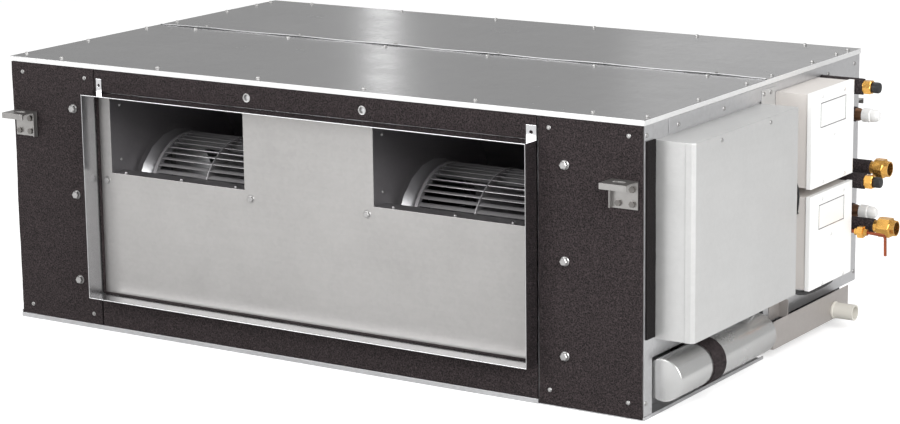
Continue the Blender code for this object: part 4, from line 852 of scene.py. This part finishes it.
def wheel_tree():
    """A squirrel-cage wheel: curved blades round a centre plate, between two rims."""
    sizes = {
        "Blades": 50,
        "Radius": 0.1255,
        "Width": 0.27,
        "Chord": 0.0195,
        "Camber": 0.0026,
        "Thickness": 0.0008,
        "Lean": 0.9,
    }
    tree, given, result = start_growth("squirrel_cage", sizes)
    radius, width, chord = given["Radius"], given["Width"], given["Chord"]
    values = {
        "Size": vector(tree, width, chord, given["Thickness"]),
        "Vertices X": 2,
        "Vertices Y": 5,
        "Vertices Z": 2,
    }
    across = out(tree, "ShaderNodeSeparateXYZ", {0: shape(tree, "InputPosition")}, "Y")
    share = maths(tree, "DIVIDE", across, maths(tree, "MULTIPLY", chord, 0.5))
    arch = maths(tree, "SUBTRACT", 1.0, maths(tree, "MULTIPLY", share, share))
    rise = vector(tree, z=maths(tree, "MULTIPLY", given["Camber"], arch))
    curved = shape(tree, "SetPosition", {"Geometry": shape(tree, "MeshCube", values, "Mesh"), "Offset": rise})
    middle = maths(tree, "SUBTRACT", radius, maths(tree, "MULTIPLY", chord, BLADE_SEAT))
    blade = moved(tree, curved, vector(tree, given["Lean"]), vector(tree, z=middle))
    step = maths(tree, "DIVIDE", 2 * math.pi, given["Blades"])
    angle = vector(tree, maths(tree, "MULTIPLY", shape(tree, "InputIndex"), step))
    values = {
        "Points": shape(tree, "MeshLine", {"Count": given["Blades"], "Offset": (0, 0, 0)}),
        "Instance": blade,
        "Rotation": out(tree, "FunctionNodeEulerToRotation", {0: angle}),
    }
    parts = [shape(tree, "InstanceOnPoints", values)]
    upright = (0, math.pi / 2, 0)
    bodies = []
    plate = maths(tree, "SUBTRACT", radius, PLATE_INSET)
    for sides, reach, depth in ((64, plate, PLATE_SHEET), (24, HUB_RADIUS, HUB_LENGTH)):
        values = {"Vertices": sides, "Radius": reach, "Depth": depth}
        bodies.append(shape(tree, "MeshCylinder", values, "Mesh"))
    parts.append(moved(tree, joined(tree, *bodies), upright))
    loop = {"Resolution": 64, "Radius": maths(tree, "SUBTRACT", radius, RIM_INSET)}
    line = shape(tree, "CurvePrimitiveCircle", loop, "Curve")
    rim = (RIM_SHEET, RIM_WIDTH)
    for (wide, tall), side in ((rim, -0.5), (rim, 0.5), (PLATE_BAND, 0.0)):
        band = shape(tree, "CurvePrimitiveQuadrilateral", {"Width": wide, "Height": tall}, "Curve")
        hoop = shape(tree, "CurveToMesh", {"Curve": line, "Profile Curve": band})
        reach = maths(tree, "MULTIPLY", maths(tree, "SUBTRACT", width, RIM_WIDTH), side)
        parts.append(moved(tree, hoop, upright, vector(tree, reach)))
    values = {"Points": given["Geometry"], "Instance": joined(tree, *parts)}
    return end_growth(tree, shape(tree, "InstanceOnPoints", values), given, result)


def fin_tree():
    """A row of thin upright fins along X, then tilted about the row's own line."""
    sizes = {
        "Count": 588,
        "Length": 1.29,
        "Depth": 0.088,
        "Height": 0.47,
        "Thickness": 0.0003,
        "Tilt": 0.42,
        "Centre": (0, 0, 0),
    }
    tree, given, result = start_growth("coil_fin_row", sizes)
    size = vector(tree, given["Thickness"], given["Depth"], given["Height"])
    pitch = maths(tree, "DIVIDE", given["Length"], maths(tree, "SUBTRACT", given["Count"], 1))
    row = {
        "Count": given["Count"],
        "Start Location": vector(tree, maths(tree, "MULTIPLY", given["Length"], -0.5)),
        "Offset": vector(tree, pitch),
    }
    values = {
        "Points": shape(tree, "MeshLine", row),
        "Instance": shape(tree, "MeshCube", {"Size": size}, "Mesh"),
    }
    whole = shape(tree, "RealizeInstances", {"Geometry": shape(tree, "InstanceOnPoints", values)})
    seated = moved(tree, whole, vector(tree, given["Tilt"]), given["Centre"])
    return end_growth(tree, seated, given, result)


def seat_on(node, way, *spots):
    """Where screw heads facing along way meet a CAD piece; a spot is the other two coordinates."""
    axis = max(range(3), key=lambda k: abs(way[k]))
    first, second = [k for k in range(3) if k != axis]
    mesh = NODE[node].data
    skin = BVHTree.FromPolygons([v.co for v in mesh.vertices], [p.vertices for p in mesh.polygons])
    seats = []
    for spot in spots:
        start = Vector()
        start[first], start[second], start[axis] = *spot, way[axis] * RAY_START
        place = skin.ray_cast(start, -Vector(way))[0]
        if place is None:
            raise RuntimeError(f"no seat for a screw on {node} at {spot}")
        seats.append((tuple(place), way))
    return seats


def fixings(name, seats, flange, flange_rise, head, rise, steel):
    values = {
        "Flange Radius": flange,
        "Flange Height": flange_rise,
        "Head Radius": head,
        "Head Height": rise - flange_rise,
        "Material": steel,
    }
    tree = bpy.data.node_groups.get("flanged_heads") or fixing_tree()
    return keep_piece(name, grow(name, tree, values, 25, seats))


class AIRUNIT_OT_stage(bpy.types.Operator):
    """Camera at the photograph's angle, pale floor and soft lights"""

    bl_idname = "airunit.stage"
    bl_label = "Studio"

    def execute(self, context):
        scene = context.scene
        self.place_camera(scene, scene.air_studio)
        self.lay_floor(scene, scene.air_studio)
        self.hang_lamps(scene, scene.air_studio)
        scene.view_settings.view_transform = "Standard"
        return {"FINISHED"}

    def place_camera(self, scene, studio):
        a, e, r = studio.azimuth, studio.elevation, studio.roll
        back = Vector((math.sin(a) * math.cos(e), -math.cos(a) * math.cos(e), math.sin(e)))
        level = Vector((0, 0, 1)).cross(back).normalized()
        upright = back.cross(level)
        right = level * math.cos(r) + upright * math.sin(r)
        up = upright * math.cos(r) - level * math.sin(r)
        camera = bpy.data.objects.new("studio_camera", bpy.data.cameras.new("studio_camera"))
        scene.collection.objects.link(camera)
        axes = Matrix((right, up, back)).transposed().to_4x4()
        camera.matrix_world = Matrix.Translation(studio.place) @ axes
        camera.data.lens = studio.lens
        camera.data.sensor_width = 36
        camera.data.clip_start = 0.05
        camera.data.clip_end = 100
        scene.camera = camera

    def lay_floor(self, scene, studio):
        bm = bmesh.new()
        reach = 14
        corners = ((-reach, -reach), (reach, -reach), (reach, reach), (-reach, reach))
        bm.faces.new([bm.verts.new((x, y, 0)) for x, y in corners])
        mesh = bpy.data.meshes.new("studio_floor")
        bm.to_mesh(mesh)
        bm.free()
        pale = coat("pale_floor", studio.floor, 0.85, 0.02, 0.015, 0.02, 0.2)
        tree = pale.node_tree
        shader = next(n for n in tree.nodes if n.type == "BSDF_PRINCIPLED")
        shader.inputs["Emission Color"].default_value = (1, 1, 1, 1)
        seen = out(tree, "ShaderNodeLightPath", output="Is Camera Ray")
        tree.links.new(maths(tree, "MULTIPLY", seen, studio.glow), shader.inputs["Emission Strength"])
        mesh.materials.append(pale)
        floor = bpy.data.objects.new("studio_floor", mesh)
        scene.collection.objects.link(floor)

    def hang_lamps(self, scene, studio):
        lamps = (
            ("right_softbox", (3.6, -1.9, 2.3), (0, 0, 0.25), (3.0, 3.0), studio.key),
            ("front_softbox", (-2.4, -4.6, 2.2), (0, -0.3, 0.25), (3.2, 3.2), studio.fill),
            ("top_softbox", (-0.3, 1.0, 3.6), (0, 0, 0.4), (2.6, 2.6), studio.top),
            ("rear_softbox", (-0.9, 4.9, 1.6), (0, 0, 0.54), (2.6, 2.4), studio.rear),
            ("rear_strip", (-2.46, 3.4, 1.45), (-0.2, 0, 0.54), (0.10, 2.2), studio.strip),
        )
        for name, place, aim, size, power in lamps:
            data = bpy.data.lights.new(name, "AREA")
            data.shape = "RECTANGLE"
            data.size, data.size_y = size
            data.energy = power
            lamp = bpy.data.objects.new(name, data)
            lamp.location = place
            lamp.visible_camera = False
            lamp.rotation_euler = (Vector(aim) - Vector(place)).to_track_quat("-Z", "Y").to_euler()
            scene.collection.objects.link(lamp)
        world = bpy.data.worlds.new("plain_surroundings")
        world.use_nodes = True
        tree = world.node_tree
        tree.nodes.clear()
        light = out(tree, "ShaderNodeBackground", {"Color": (1, 1, 1, 1), "Strength": studio.air})
        add_node(tree, "ShaderNodeOutputWorld", {"Surface": light})
        scene.world = world


class AIRUNIT_OT_casing(bpy.types.Operator):
    """Zinc finishes and rounded folds of the casing's sheets"""

    bl_idname = "airunit.casing"
    bl_label = "Casing sheets"

    def execute(self, context):
        casing = context.scene.air_casing
        top = zinc("top_zinc", casing.top, 0.03, 0.14, 0.20, 0.23, 0.92, 0.02)
        # The folded front lips take a lighter copy of the top sheet's zinc, as painted light on the faces
        # that look to the front.
        lip = zinc("lip_painted_light_zinc", (0.76, 0.76, 0.76), 0.03, 0.06, 0.10, 0.36, 0.35)
        side = zinc("side_zinc", casing.side, 0.07, 0.06, 0.14, 0.34, 0.75)
        # The deck's darker zinc is painted shade of the outlet collar.
        deck = zinc("deck_painted_shade_zinc", casing.deck, 0.05, 0.06, 0.22, 0.42, 0.6)
        collar = zinc("collar_zinc", casing.side, 0.03, 0.05, 0.16, 0.22, 0.92, 0.04)
        outer = zinc("collar_outer_zinc", casing.side, 0.0, 0.03, 0.05, 0.13, 1.0, 0.0)
        bracket = zinc("hanger_zinc", (0.36, 0.35, 0.34), 0.05, 0.10, 0.30, 0.34, 0.85)
        bolt = zinc("hanger_bolt_zinc", (0.20, 0.19, 0.18), 0.03, 0.06, 0.10, 0.32, 0.9)
        tray = zinc("tray_zinc", casing.tray, 0.05, 0.05, 0.16, 0.50, 0.5)
        for end in ("front", "rear"):
            folded_sheet_piece(
                end + "_top_panel", end + "_top_sheet", (top, lip), (2, TOP_Z, 1), second=on_top_lip
            )
        # A dark strip under the rear sheet's lifted edge is painted shadow, not a part of the unit.
        dark = coat("seam_painted_shadow_paint", (0.02, 0.02, 0.02), 0.6)
        seam_strip_piece("top_seam_edge", lifted_edge, 0.0290, 0.0325, side)
        seam_strip_piece("top_seam_gap", edge_shadow, 0.0295, 0.0320, dark)
        folded_sheet_piece("left_side_panel", "left_side_sheet", side, (0, -SIDE_X, -1))
        for node, name in (
            ("right_front_panel", "right_front_sheet"),
            ("right_rear_panel", "right_rear_sheet"),
            ("side_top_rail", "side_rail_sheet"),
            ("front_frame", "front_frame_sheet"),
            ("rear_inlet_frame", "rear_inlet_sheet"),
        ):
            folded_sheet_piece(node, name, side)
        folded_sheet_piece("base_pan", "front_base_sheet", side, edit=lower_side_lip)
        folded_sheet_piece("rear_base_pan", "rear_base_sheet", side)
        folded_sheet_piece("blower_deck", "blower_deck_sheet", deck, (1, DECK_Y, -1))
        folded_sheet_piece("outlet_collar", "outlet_collar_sheet", (collar, outer), second=on_collar_outside)
        folded_sheet_piece("drain_trough", "drain_trough_sheet", tray)
        for corner in ("front_left", "front_right", "rear_left", "rear_right"):
            folded_sheet_piece(
                "hanger_" + corner,
                "hanger_sheet_" + corner,
                (bracket, bolt),
                fold=0.0004,
                edit=brace_hanger,
                second=on_hanger_bolt,
            )
        return {"FINISHED"}


class AIRUNIT_OT_foam(bpy.types.Operator):
    """Black insulation foam glued on the front, and a dark strip at the right front corner that is painted
    shadow of the electrical housing
    """

    bl_idname = "airunit.foam"
    bl_label = "Front foam"

    def execute(self, context):
        front = (1, FOAM_Y, -1)
        foam_piece("foam_left", "front_foam_left", 1.0, front)
        foam_piece("foam_right", "front_foam_right", 2.0, front)
        foam_piece("foam_top", "front_foam_top", 3.0)
        foam_piece("foam_bottom", "front_foam_bottom", 4.0)
        # The dark strip on the right side sheet beside the electrical housing is painted shadow and dark
        # reflection of the housing, made as a thin sheet at 0.6 of the foam colour.
        foam_piece("side_foam", "corner_foam_strip", 5.0, skin=foam_skin("painted_shadow_strip_skin", 0.6, 0.8))
        foam_piece("collar_seal", "collar_gasket", 6.0, edit=narrow_seal)
        profile = [(FOAM_Y + EYELET_SINK - rise, radius) for rise, radius in EYELET_RIM]
        for name, x in (("left", -0.133), ("right", 0.133)):
            bm = bmesh.new()
            turn_into(bm, profile, (x, 0, 0.505), 32, 1, hollow=True)
            shade(bm, 40)
            piece_from(bm, "foam_eyelet_" + name, (plated_steel(),))
        return {"FINISHED"}


class AIRUNIT_OT_fixings(bpy.types.Operator):
    """Screws and bolts of the casing, one flanged head on each place"""

    bl_idname = "airunit.fixings"
    bl_label = "Screws and bolts"

    def execute(self, context):
        sizes = context.scene.air_fixings
        up, right, left, front, rear = (0, 0, 1), (1, 0, 0), (-1, 0, 0), (0, -1, 0), (0, 1, 0)
        steel = plated_steel()
        # The lid screws take a lighter copy of the plated steel, as painted light on the brightly lit screws.
        pale = zinc("lid_screw_painted_light_zinc", (0.78, 0.78, 0.77), 0.02, 0.04, 0.06, 0.35, 0.4)
        row_x = (-0.610, -0.366, -0.122, 0.122, 0.366, 0.610)
        edge_y = (-0.410, -0.220, -0.030, 0.074, 0.250, 0.360, 0.413)
        side = seat_on("front_frame", right, (-0.433, 0.512), (-0.433, 0.030))
        side += seat_on("side_top_rail", right, (-0.321, 0.5135), (-0.147, 0.5135))
        side += seat_on("right_rear_panel", right, (0.299, 0.510), (0.421, 0.513), (0.436, 0.085))
        side += seat_on("electrical_box", right, (0.011, 0.5155), (0.039, 0.5155))
        upper = ((0.112, 0.502), (0.208, 0.501), (0.165, 0.422), (0.214, 0.337), (0.119, 0.337))
        lower = ((0.118, 0.304), (0.212, 0.304), (0.159, 0.228), (0.216, 0.138), (0.123, 0.138))
        lids = seat_on("valve_lid_upper", right, *upper) + seat_on("valve_lid_lower", right, *lower)
        frame_spots = [(x, z) for x in (-0.600, -0.360, -0.120, 0.120, 0.360, 0.600) for z in (0.518, 0.030)]
        face_y = FOAM_Y + PRESS_DEPTH
        lip_x = (-0.452, -0.313, -0.180, 0.186, 0.322, 0.446)
        rows = [((x, y, TOP_Z), up) for y in (-0.421, 0.008, 0.046, 0.431) for x in row_x]
        edges = [((x, y, TOP_Z), up) for x in (-0.712, 0.712) for y in edge_y]
        blank = [((-SIDE_X, y, z), left) for y in (-0.380, 0.010, 0.400) for z in (0.512, 0.030)]
        cover = seat_on("electrical_cover", right, (-0.303, 0.489), (-0.111, 0.489))
        face = [((x, face_y, z), front) for x in (-0.694, -0.533, 0.533, 0.694) for z in (0.510, 0.030)]
        lip = [((x, -0.424, MOUTH_FLOOR), up) for x in lip_x]
        wall = [((x, -0.405, z), right) for x in (-0.478, 0.150) for z in (0.346, 0.455)]
        groups = (
            ("top_row_screws", rows, HEAD_RISE, 1.0),
            ("top_edge_screws", edges, HEAD_RISE, 1.0),
            ("left_side_screws", blank, HEAD_RISE, 1.0),
            ("right_side_screws", side, 0.0028, 0.9),
            ("cover_screws", cover, 0.0026, 0.85),
            ("valve_lid_screws", lids, 0.0022, 0.85),
            ("front_face_screws", face, 0.0026, 0.85),
            ("mouth_lip_screws", lip, 0.0026, 0.8),
            ("mouth_wall_screws", wall, 0.0024, 0.75),
            ("rear_frame_screws", seat_on("rear_inlet_frame", rear, *frame_spots), 0.0026, 1.0),
        )
        for name, seats, rise, scale in groups:
            # Screws on the lids take the lighter copy of the steel, painted light.
            metal = pale if seats is lids else steel
            fixings(name, seats, sizes.flange * scale, FLANGE_RISE, sizes.head * scale, rise, metal)
        bolts = [((x, face_y, z), front) for x in (-0.565, 0.565) for z in (0.097, 0.2715, 0.446)]
        rise = BOLT_RISE + PRESS_DEPTH
        fixings("front_face_bolts", bolts, sizes.washer, sizes.washer_rise, sizes.bolt, rise, steel)
        deck = [((x, DECK_Y, 0.3075), front) for x in (-0.490, -0.135, 0.135, 0.490)]
        fixings("deck_bolts", deck, 0.00832, 0.0010, 0.00608, DECK_RISE, steel)
        return {"FINISHED"}


class AIRUNIT_OT_blowers(bpy.types.Operator):
    """Scroll housings, squirrel-cage wheels, shaft, bearings and motor"""

    bl_idname = "airunit.blowers"
    bl_label = "Blowers"

    def execute(self, context):
        sizes = context.scene.air_blowers
        blade = zinc("blade_zinc", sizes.zinc, 0.03, 0.05, 0.08, 0.38, 0.5, 0.03)
        # The scroll walls and motor cradle take the darker zinc as painted shade inside the mouths; the inlet
        # rings keep the plain casing zinc.
        shell = zinc("scroll_painted_shade_zinc", sizes.scroll, 0.04, 0.05, 0.12, 0.32, 0.85, 0.03)
        bright = zinc("inlet_ring_zinc", context.scene.air_casing.side, 0.02, 0.05, 0.08, 0.34, 0.8, 0.03)
        values = {
            "Blades": sizes.blades,
            "Radius": sizes.radius,
            "Width": sizes.width,
            "Chord": sizes.chord,
            "Camber": sizes.camber,
            "Lean": BLADE_LEAN,
            "Material": blade,
        }
        tree = wheel_tree()
        for side, x in (("left", -FAN_X), ("right", FAN_X)):
            name = "blower_wheel_" + side
            mesh = grow(name, tree, values, 40, [((x, FAN_Y, FAN_Z), (0, 0, 1))])
            keep_piece(name, mesh, (), ("wheel_" + side,), "rotor")
            bm = merged_copy("scroll_" + side)
            open_cutoff(bm, sizes.cutoff)
            shade(bm, 28)
            for face in bm.faces:
                face.smooth = abs(face.normal.x) < 0.99
                middle = face.calc_center_median()
                face.material_index = int(math.hypot(middle.y - FAN_Y, middle.z - FAN_Z) < INLET_RING)
            piece_from(bm, "scroll_shell_" + side, (shell, bright), ("scroll_" + side,))
            smooth_piece("bearing_" + side, "bearing_bracket_" + side, plated_steel(), 30)
        ground = turned("ground_steel", (0.55, 0.55, 0.56), 0.22, 0.1)
        smooth_piece("fan_shaft", "drive_shaft", ground, 40, "rotor")
        smooth_piece("fan_motor", "motor_shell", coat("motor_enamel", sizes.motor, 0.38))
        smooth_piece("motor_cradle", "motor_cradle_sheet", shell, 30)
        return {"FINISHED"}


class AIRUNIT_OT_coil(bpy.types.Operator):
    """Finned coil, its tubes and end sheets, and the drain pan"""

    bl_idname = "airunit.coil"
    bl_label = "Coil and drain pan"

    def execute(self, context):
        sizes = context.scene.air_coil
        values = {
            "Count": sizes.fins,
            "Length": sizes.length,
            "Depth": sizes.depth,
            "Height": sizes.height,
            "Tilt": COIL_TILT,
            "Centre": COIL_CENTRE,
            "Material": zinc("fin_aluminium_sheet", sizes.fin, 0.0, 0.04, 0.10, 0.34, 0.9),
        }
        mesh = grow("coil_fin_pack", fin_tree(), values)
        keep_piece("coil_fin_pack", mesh, (), ("coil_fins",))
        end = zinc("end_sheet_zinc", context.scene.air_casing.side, 0.07, 0.04, 0.10, 0.40, 0.7)
        smooth_piece("tube_sheet_right", "coil_end_sheet_right", end, 25)
        split_piece(
            "tube_sheet_left",
            "coil_end_sheet_left",
            (end, drawn_copper()),
            35,
            lambda face: face.calc_center_median().x < BEND_END_X,
        )
        dress(coat("moulded_bead_foam", (0.10, 0.10, 0.105), 0.8, 0.004, 0.3, 0.5, 0.2), "drain_pan")
        return {"FINISHED"}


class AIRUNIT_OT_electrics(bpy.types.Operator):
    """Electrical housing, its cover, the board inside and the two cables"""

    bl_idname = "airunit.electrics"
    bl_label = "Electrical housing"

    def execute(self, context):
        coated = zinc("housing_sheet", context.scene.air_casing.housing, 0.03, 0.05, 0.20, 0.40, 0.5, 0.05)
        folded_sheet_piece("electrical_box", "electrical_tray_sheet", coated)
        folded_sheet_piece("electrical_cover", "electrical_cover_sheet", coated, fold=0.0009)
        dress(coat("board_laminate", (0.02, 0.16, 0.07), 0.35), "control_board")
        sheath = coat("cable_sheath", context.scene.air_pipes.black, 0.5, 0.002, 0.2)
        for name in ("link_cable", "sensor_cable"):
            smooth_piece(name, name + "_sheath", sheath, 60)
        return {"FINISHED"}


class AIRUNIT_OT_valve_boxes(bpy.types.Operator):
    """Two valve boxes with white lids and bare label plates"""

    bl_idname = "airunit.valve_boxes"
    bl_label = "Valve boxes"

    def execute(self, context):
        pipes = context.scene.air_pipes
        # The box bodies take the lids' white paint darkened to a warm grey, as painted shade beside the
        # electrical housing.
        body = coat("valve_box_painted_shade_coat", (0.66, 0.625, 0.595), 0.45, 0.0014, 0.05)
        white = coat("white_lid_paint", pipes.paint, 0.38, 0.0014, 0.03)
        plate = coat("label_film", (0.84, 0.84, 0.83), 0.30, 0.003, 0.02)
        ink = coat("label_outline_print", pipes.ink, 0.5, 0.001, 0.1)
        wide = 0.0015
        inset = 0.0022
        for name, low, high in (
            ("upper", (0.102, 0.440), (0.218, 0.492)),
            ("lower", (0.101, 0.244), (0.218, 0.296)),
        ):
            folded_sheet_piece("valve_box_" + name, "valve_box_sheet_" + name, body)
            folded_sheet_piece(
                "valve_lid_" + name, "valve_lid_sheet_" + name, white, fold=0.0012
            )
            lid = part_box("valve_lid_" + name)[1].x
            bm = bmesh.new()
            box_into(bm, (lid - 0.0001, *low), (lid + 0.00012, *high))
            upright = [e for e in bm.edges if abs(e.verts[0].co.x - e.verts[1].co.x) > 1e-4]
            bmesh.ops.bevel(bm, geom=upright, offset=0.003, segments=4, profile=0.5, affect="EDGES")
            piece_from(bm, "label_plate_" + name, (plate,))
            bm = bmesh.new()
            y0, z0 = (value + inset for value in low)
            y1, z1 = (value - inset for value in high)
            for near, far in (
                ((y0, z0), (y1, z0 + wide)),
                ((y0, z1 - wide), (y1, z1)),
                ((y0, z0), (y0 + wide, z1)),
                ((y1 - wide, z0), (y1, z1)),
            ):
                box_into(bm, (lid + 0.00005, *near), (lid + 0.0002, *far))
            piece_from(bm, "label_outline_" + name, (ink,))
        return {"FINISHED"}


class AIRUNIT_OT_pipes(bpy.types.Operator):
    """Lagged pipes, brass nuts, caps, charging valve and spare stubs"""

    bl_idname = "airunit.pipes"
    bl_label = "Pipe ends"

    def execute(self, context):
        pipes = context.scene.air_pipes
        copper = drawn_copper()
        brass = turned("turned_brass", pipes.brass, 0.24, 0.30)
        black = coat("black_cap_plastic", pipes.black, 0.42, 0.002, 0.2)
        pale = coat("pale_cap_plastic", pipes.pale, 0.45, 0.003, 0.05)

        def lagged(face):
            middle = face.calc_center_median()
            y, z, radius = min(axes, key=lambda a: (a[0] - middle.y) ** 2 + (a[1] - middle.z) ** 2)
            reach = max(math.hypot(v.co.y - y, v.co.z - z) for v in face.verts)
            return middle.x > 0.70 and reach > radius + 0.0015

        for node, axes in TUBE_AXES.items():
            split_piece(node, node + "_lagged", (copper, foam_skin()), 35, lagged)
        for level in ("upper", "lower"):
            smooth_piece("flare_nut_" + level, "flare_nut_body_" + level, brass, 28)
            smooth_piece("service_nut_" + level, "service_nut_body_" + level, brass, 28)
            smooth_piece("service_cap_" + level, "service_cap_body_" + level, black)
            smooth_piece("pale_cap_" + level, "stub_cap_body_" + level, pale)
        tube_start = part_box("charging_valve")[1].x - CHARGE_TUBE
        split_piece(
            "charging_valve",
            "charging_valve_body",
            (brass, copper),
            30,
            lambda face: face.calc_center_median().x > tube_start,
        )
        neck = turned("brown_copper_neck", (0.16, 0.085, 0.05), 0.45, 0.5)
        for name, y, z, start in (("upper", 0.330, 0.430, 0.7715), ("lower", 0.330, 0.237, 0.7695)):
            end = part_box("pale_cap_" + name)[0].x
            profile = [
                (start, 0.0084),
                (start, 0.0132),
                (start + 0.006, 0.0126),
                (end - 0.002, 0.0102),
                (end, 0.0098),
                (end, 0.0084),
            ]
            bm = bmesh.new()
            turn_into(bm, profile, (0, y, z), 32)
            shade(bm, 35)
            piece_from(bm, "stub_neck_" + name, (neck,))
        return {"FINISHED"}


class AIRUNIT_OT_drain(bpy.types.Operator):
    """Suction accumulator in its foam band, and the drain spout"""

    bl_idname = "airunit.drain"
    bl_label = "Accumulator and spout"

    def execute(self, context):
        shell = zinc("accumulator_zinc", (0.66, 0.66, 0.655), 0.0, 0.02, 0.08, 0.27, 0.92, 0.02)
        bm = merged_copy("accumulator")
        reach = TANK_RADIUS + 2e-4
        spent = [
            f for f in bm.faces if all(math.hypot(v.co.x - TANK_X, v.co.z - TANK_Z) < reach for v in f.verts)
        ]
        bmesh.ops.delete(bm, geom=spent, context="FACES")
        low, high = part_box("accumulator")
        steps = ((0.0, -TANK_RADIUS), (0.0, -0.0022), (0.0003, -0.0012), (0.0010, -0.0004), (0.0022, 0.0))
        profile = [(low.y + deep, TANK_RADIUS + shrink) for deep, shrink in steps]
        profile += [(high.y - deep, TANK_RADIUS + shrink) for deep, shrink in steps[::-1]]
        turn_into(bm, profile, (TANK_X, 0, TANK_Z), 72, 1)
        shade(bm, 32)
        piece_from(bm, "accumulator_shell", (shell,), ("accumulator",))
        for name in ("band", "saddle"):
            smooth_piece("accumulator_" + name, "accumulator_foam_" + name, foam_skin(), 45)
        spout = coat("spout_plastic_skin", context.scene.air_pipes.spout, 0.42, 0.003, 0.08)
        smooth_piece("drain_spout", "drain_spout_tube", spout, 40)
        return {"FINISHED"}


class AIRUNIT_PT_panel(bpy.types.Panel):
    """Lists the steps that finish the air conditioner"""

    bl_label = "Air conditioner"
    bl_idname = "AIRUNIT_PT_panel"
    bl_space_type = "VIEW_3D"
    bl_region_type = "UI"
    bl_category = "Air conditioner"

    def draw(self, context):
        for step in STEPS:
            self.layout.operator(step.bl_idname)
        for name in SETTINGS:
            group = getattr(context.scene, name)
            box = self.layout.box()
            for key in type(group).__annotations__:
                box.prop(group, key)


SETTINGS = {
    "air_casing": AIRUNIT_PG_casing,
    "air_foam": AIRUNIT_PG_foam,
    "air_fixings": AIRUNIT_PG_fixings,
    "air_blowers": AIRUNIT_PG_blowers,
    "air_coil": AIRUNIT_PG_coil,
    "air_pipes": AIRUNIT_PG_pipes,
    "air_studio": AIRUNIT_PG_studio,
}
STEPS = (
    AIRUNIT_OT_stage,
    AIRUNIT_OT_casing,
    AIRUNIT_OT_foam,
    AIRUNIT_OT_fixings,
    AIRUNIT_OT_blowers,
    AIRUNIT_OT_coil,
    AIRUNIT_OT_electrics,
    AIRUNIT_OT_valve_boxes,
    AIRUNIT_OT_pipes,
    AIRUNIT_OT_drain,
)


def register():
    for kind in (*SETTINGS.values(), *STEPS, AIRUNIT_PT_panel):
        bpy.utils.register_class(kind)
    for name, kind in SETTINGS.items():
        setattr(bpy.types.Scene, name, PointerProperty(type=kind))


def unregister():
    for name in SETTINGS:
        delattr(bpy.types.Scene, name)
    for kind in (AIRUNIT_PT_panel, *STEPS[::-1], *list(SETTINGS.values())[::-1]):
        bpy.utils.unregister_class(kind)


def main():
    kept = set(NODE.values()) | set(frame["bodies"].values())
    for thing in [o for o in bpy.data.objects if o not in kept]:
        bpy.data.objects.remove(thing)
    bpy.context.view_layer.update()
    register()
    for step in STEPS:
        family, name = step.bl_idname.split(".")
        getattr(getattr(bpy.ops, family), name)()
    bpy.context.view_layer.update()


if __name__ == "__main__":
    main()
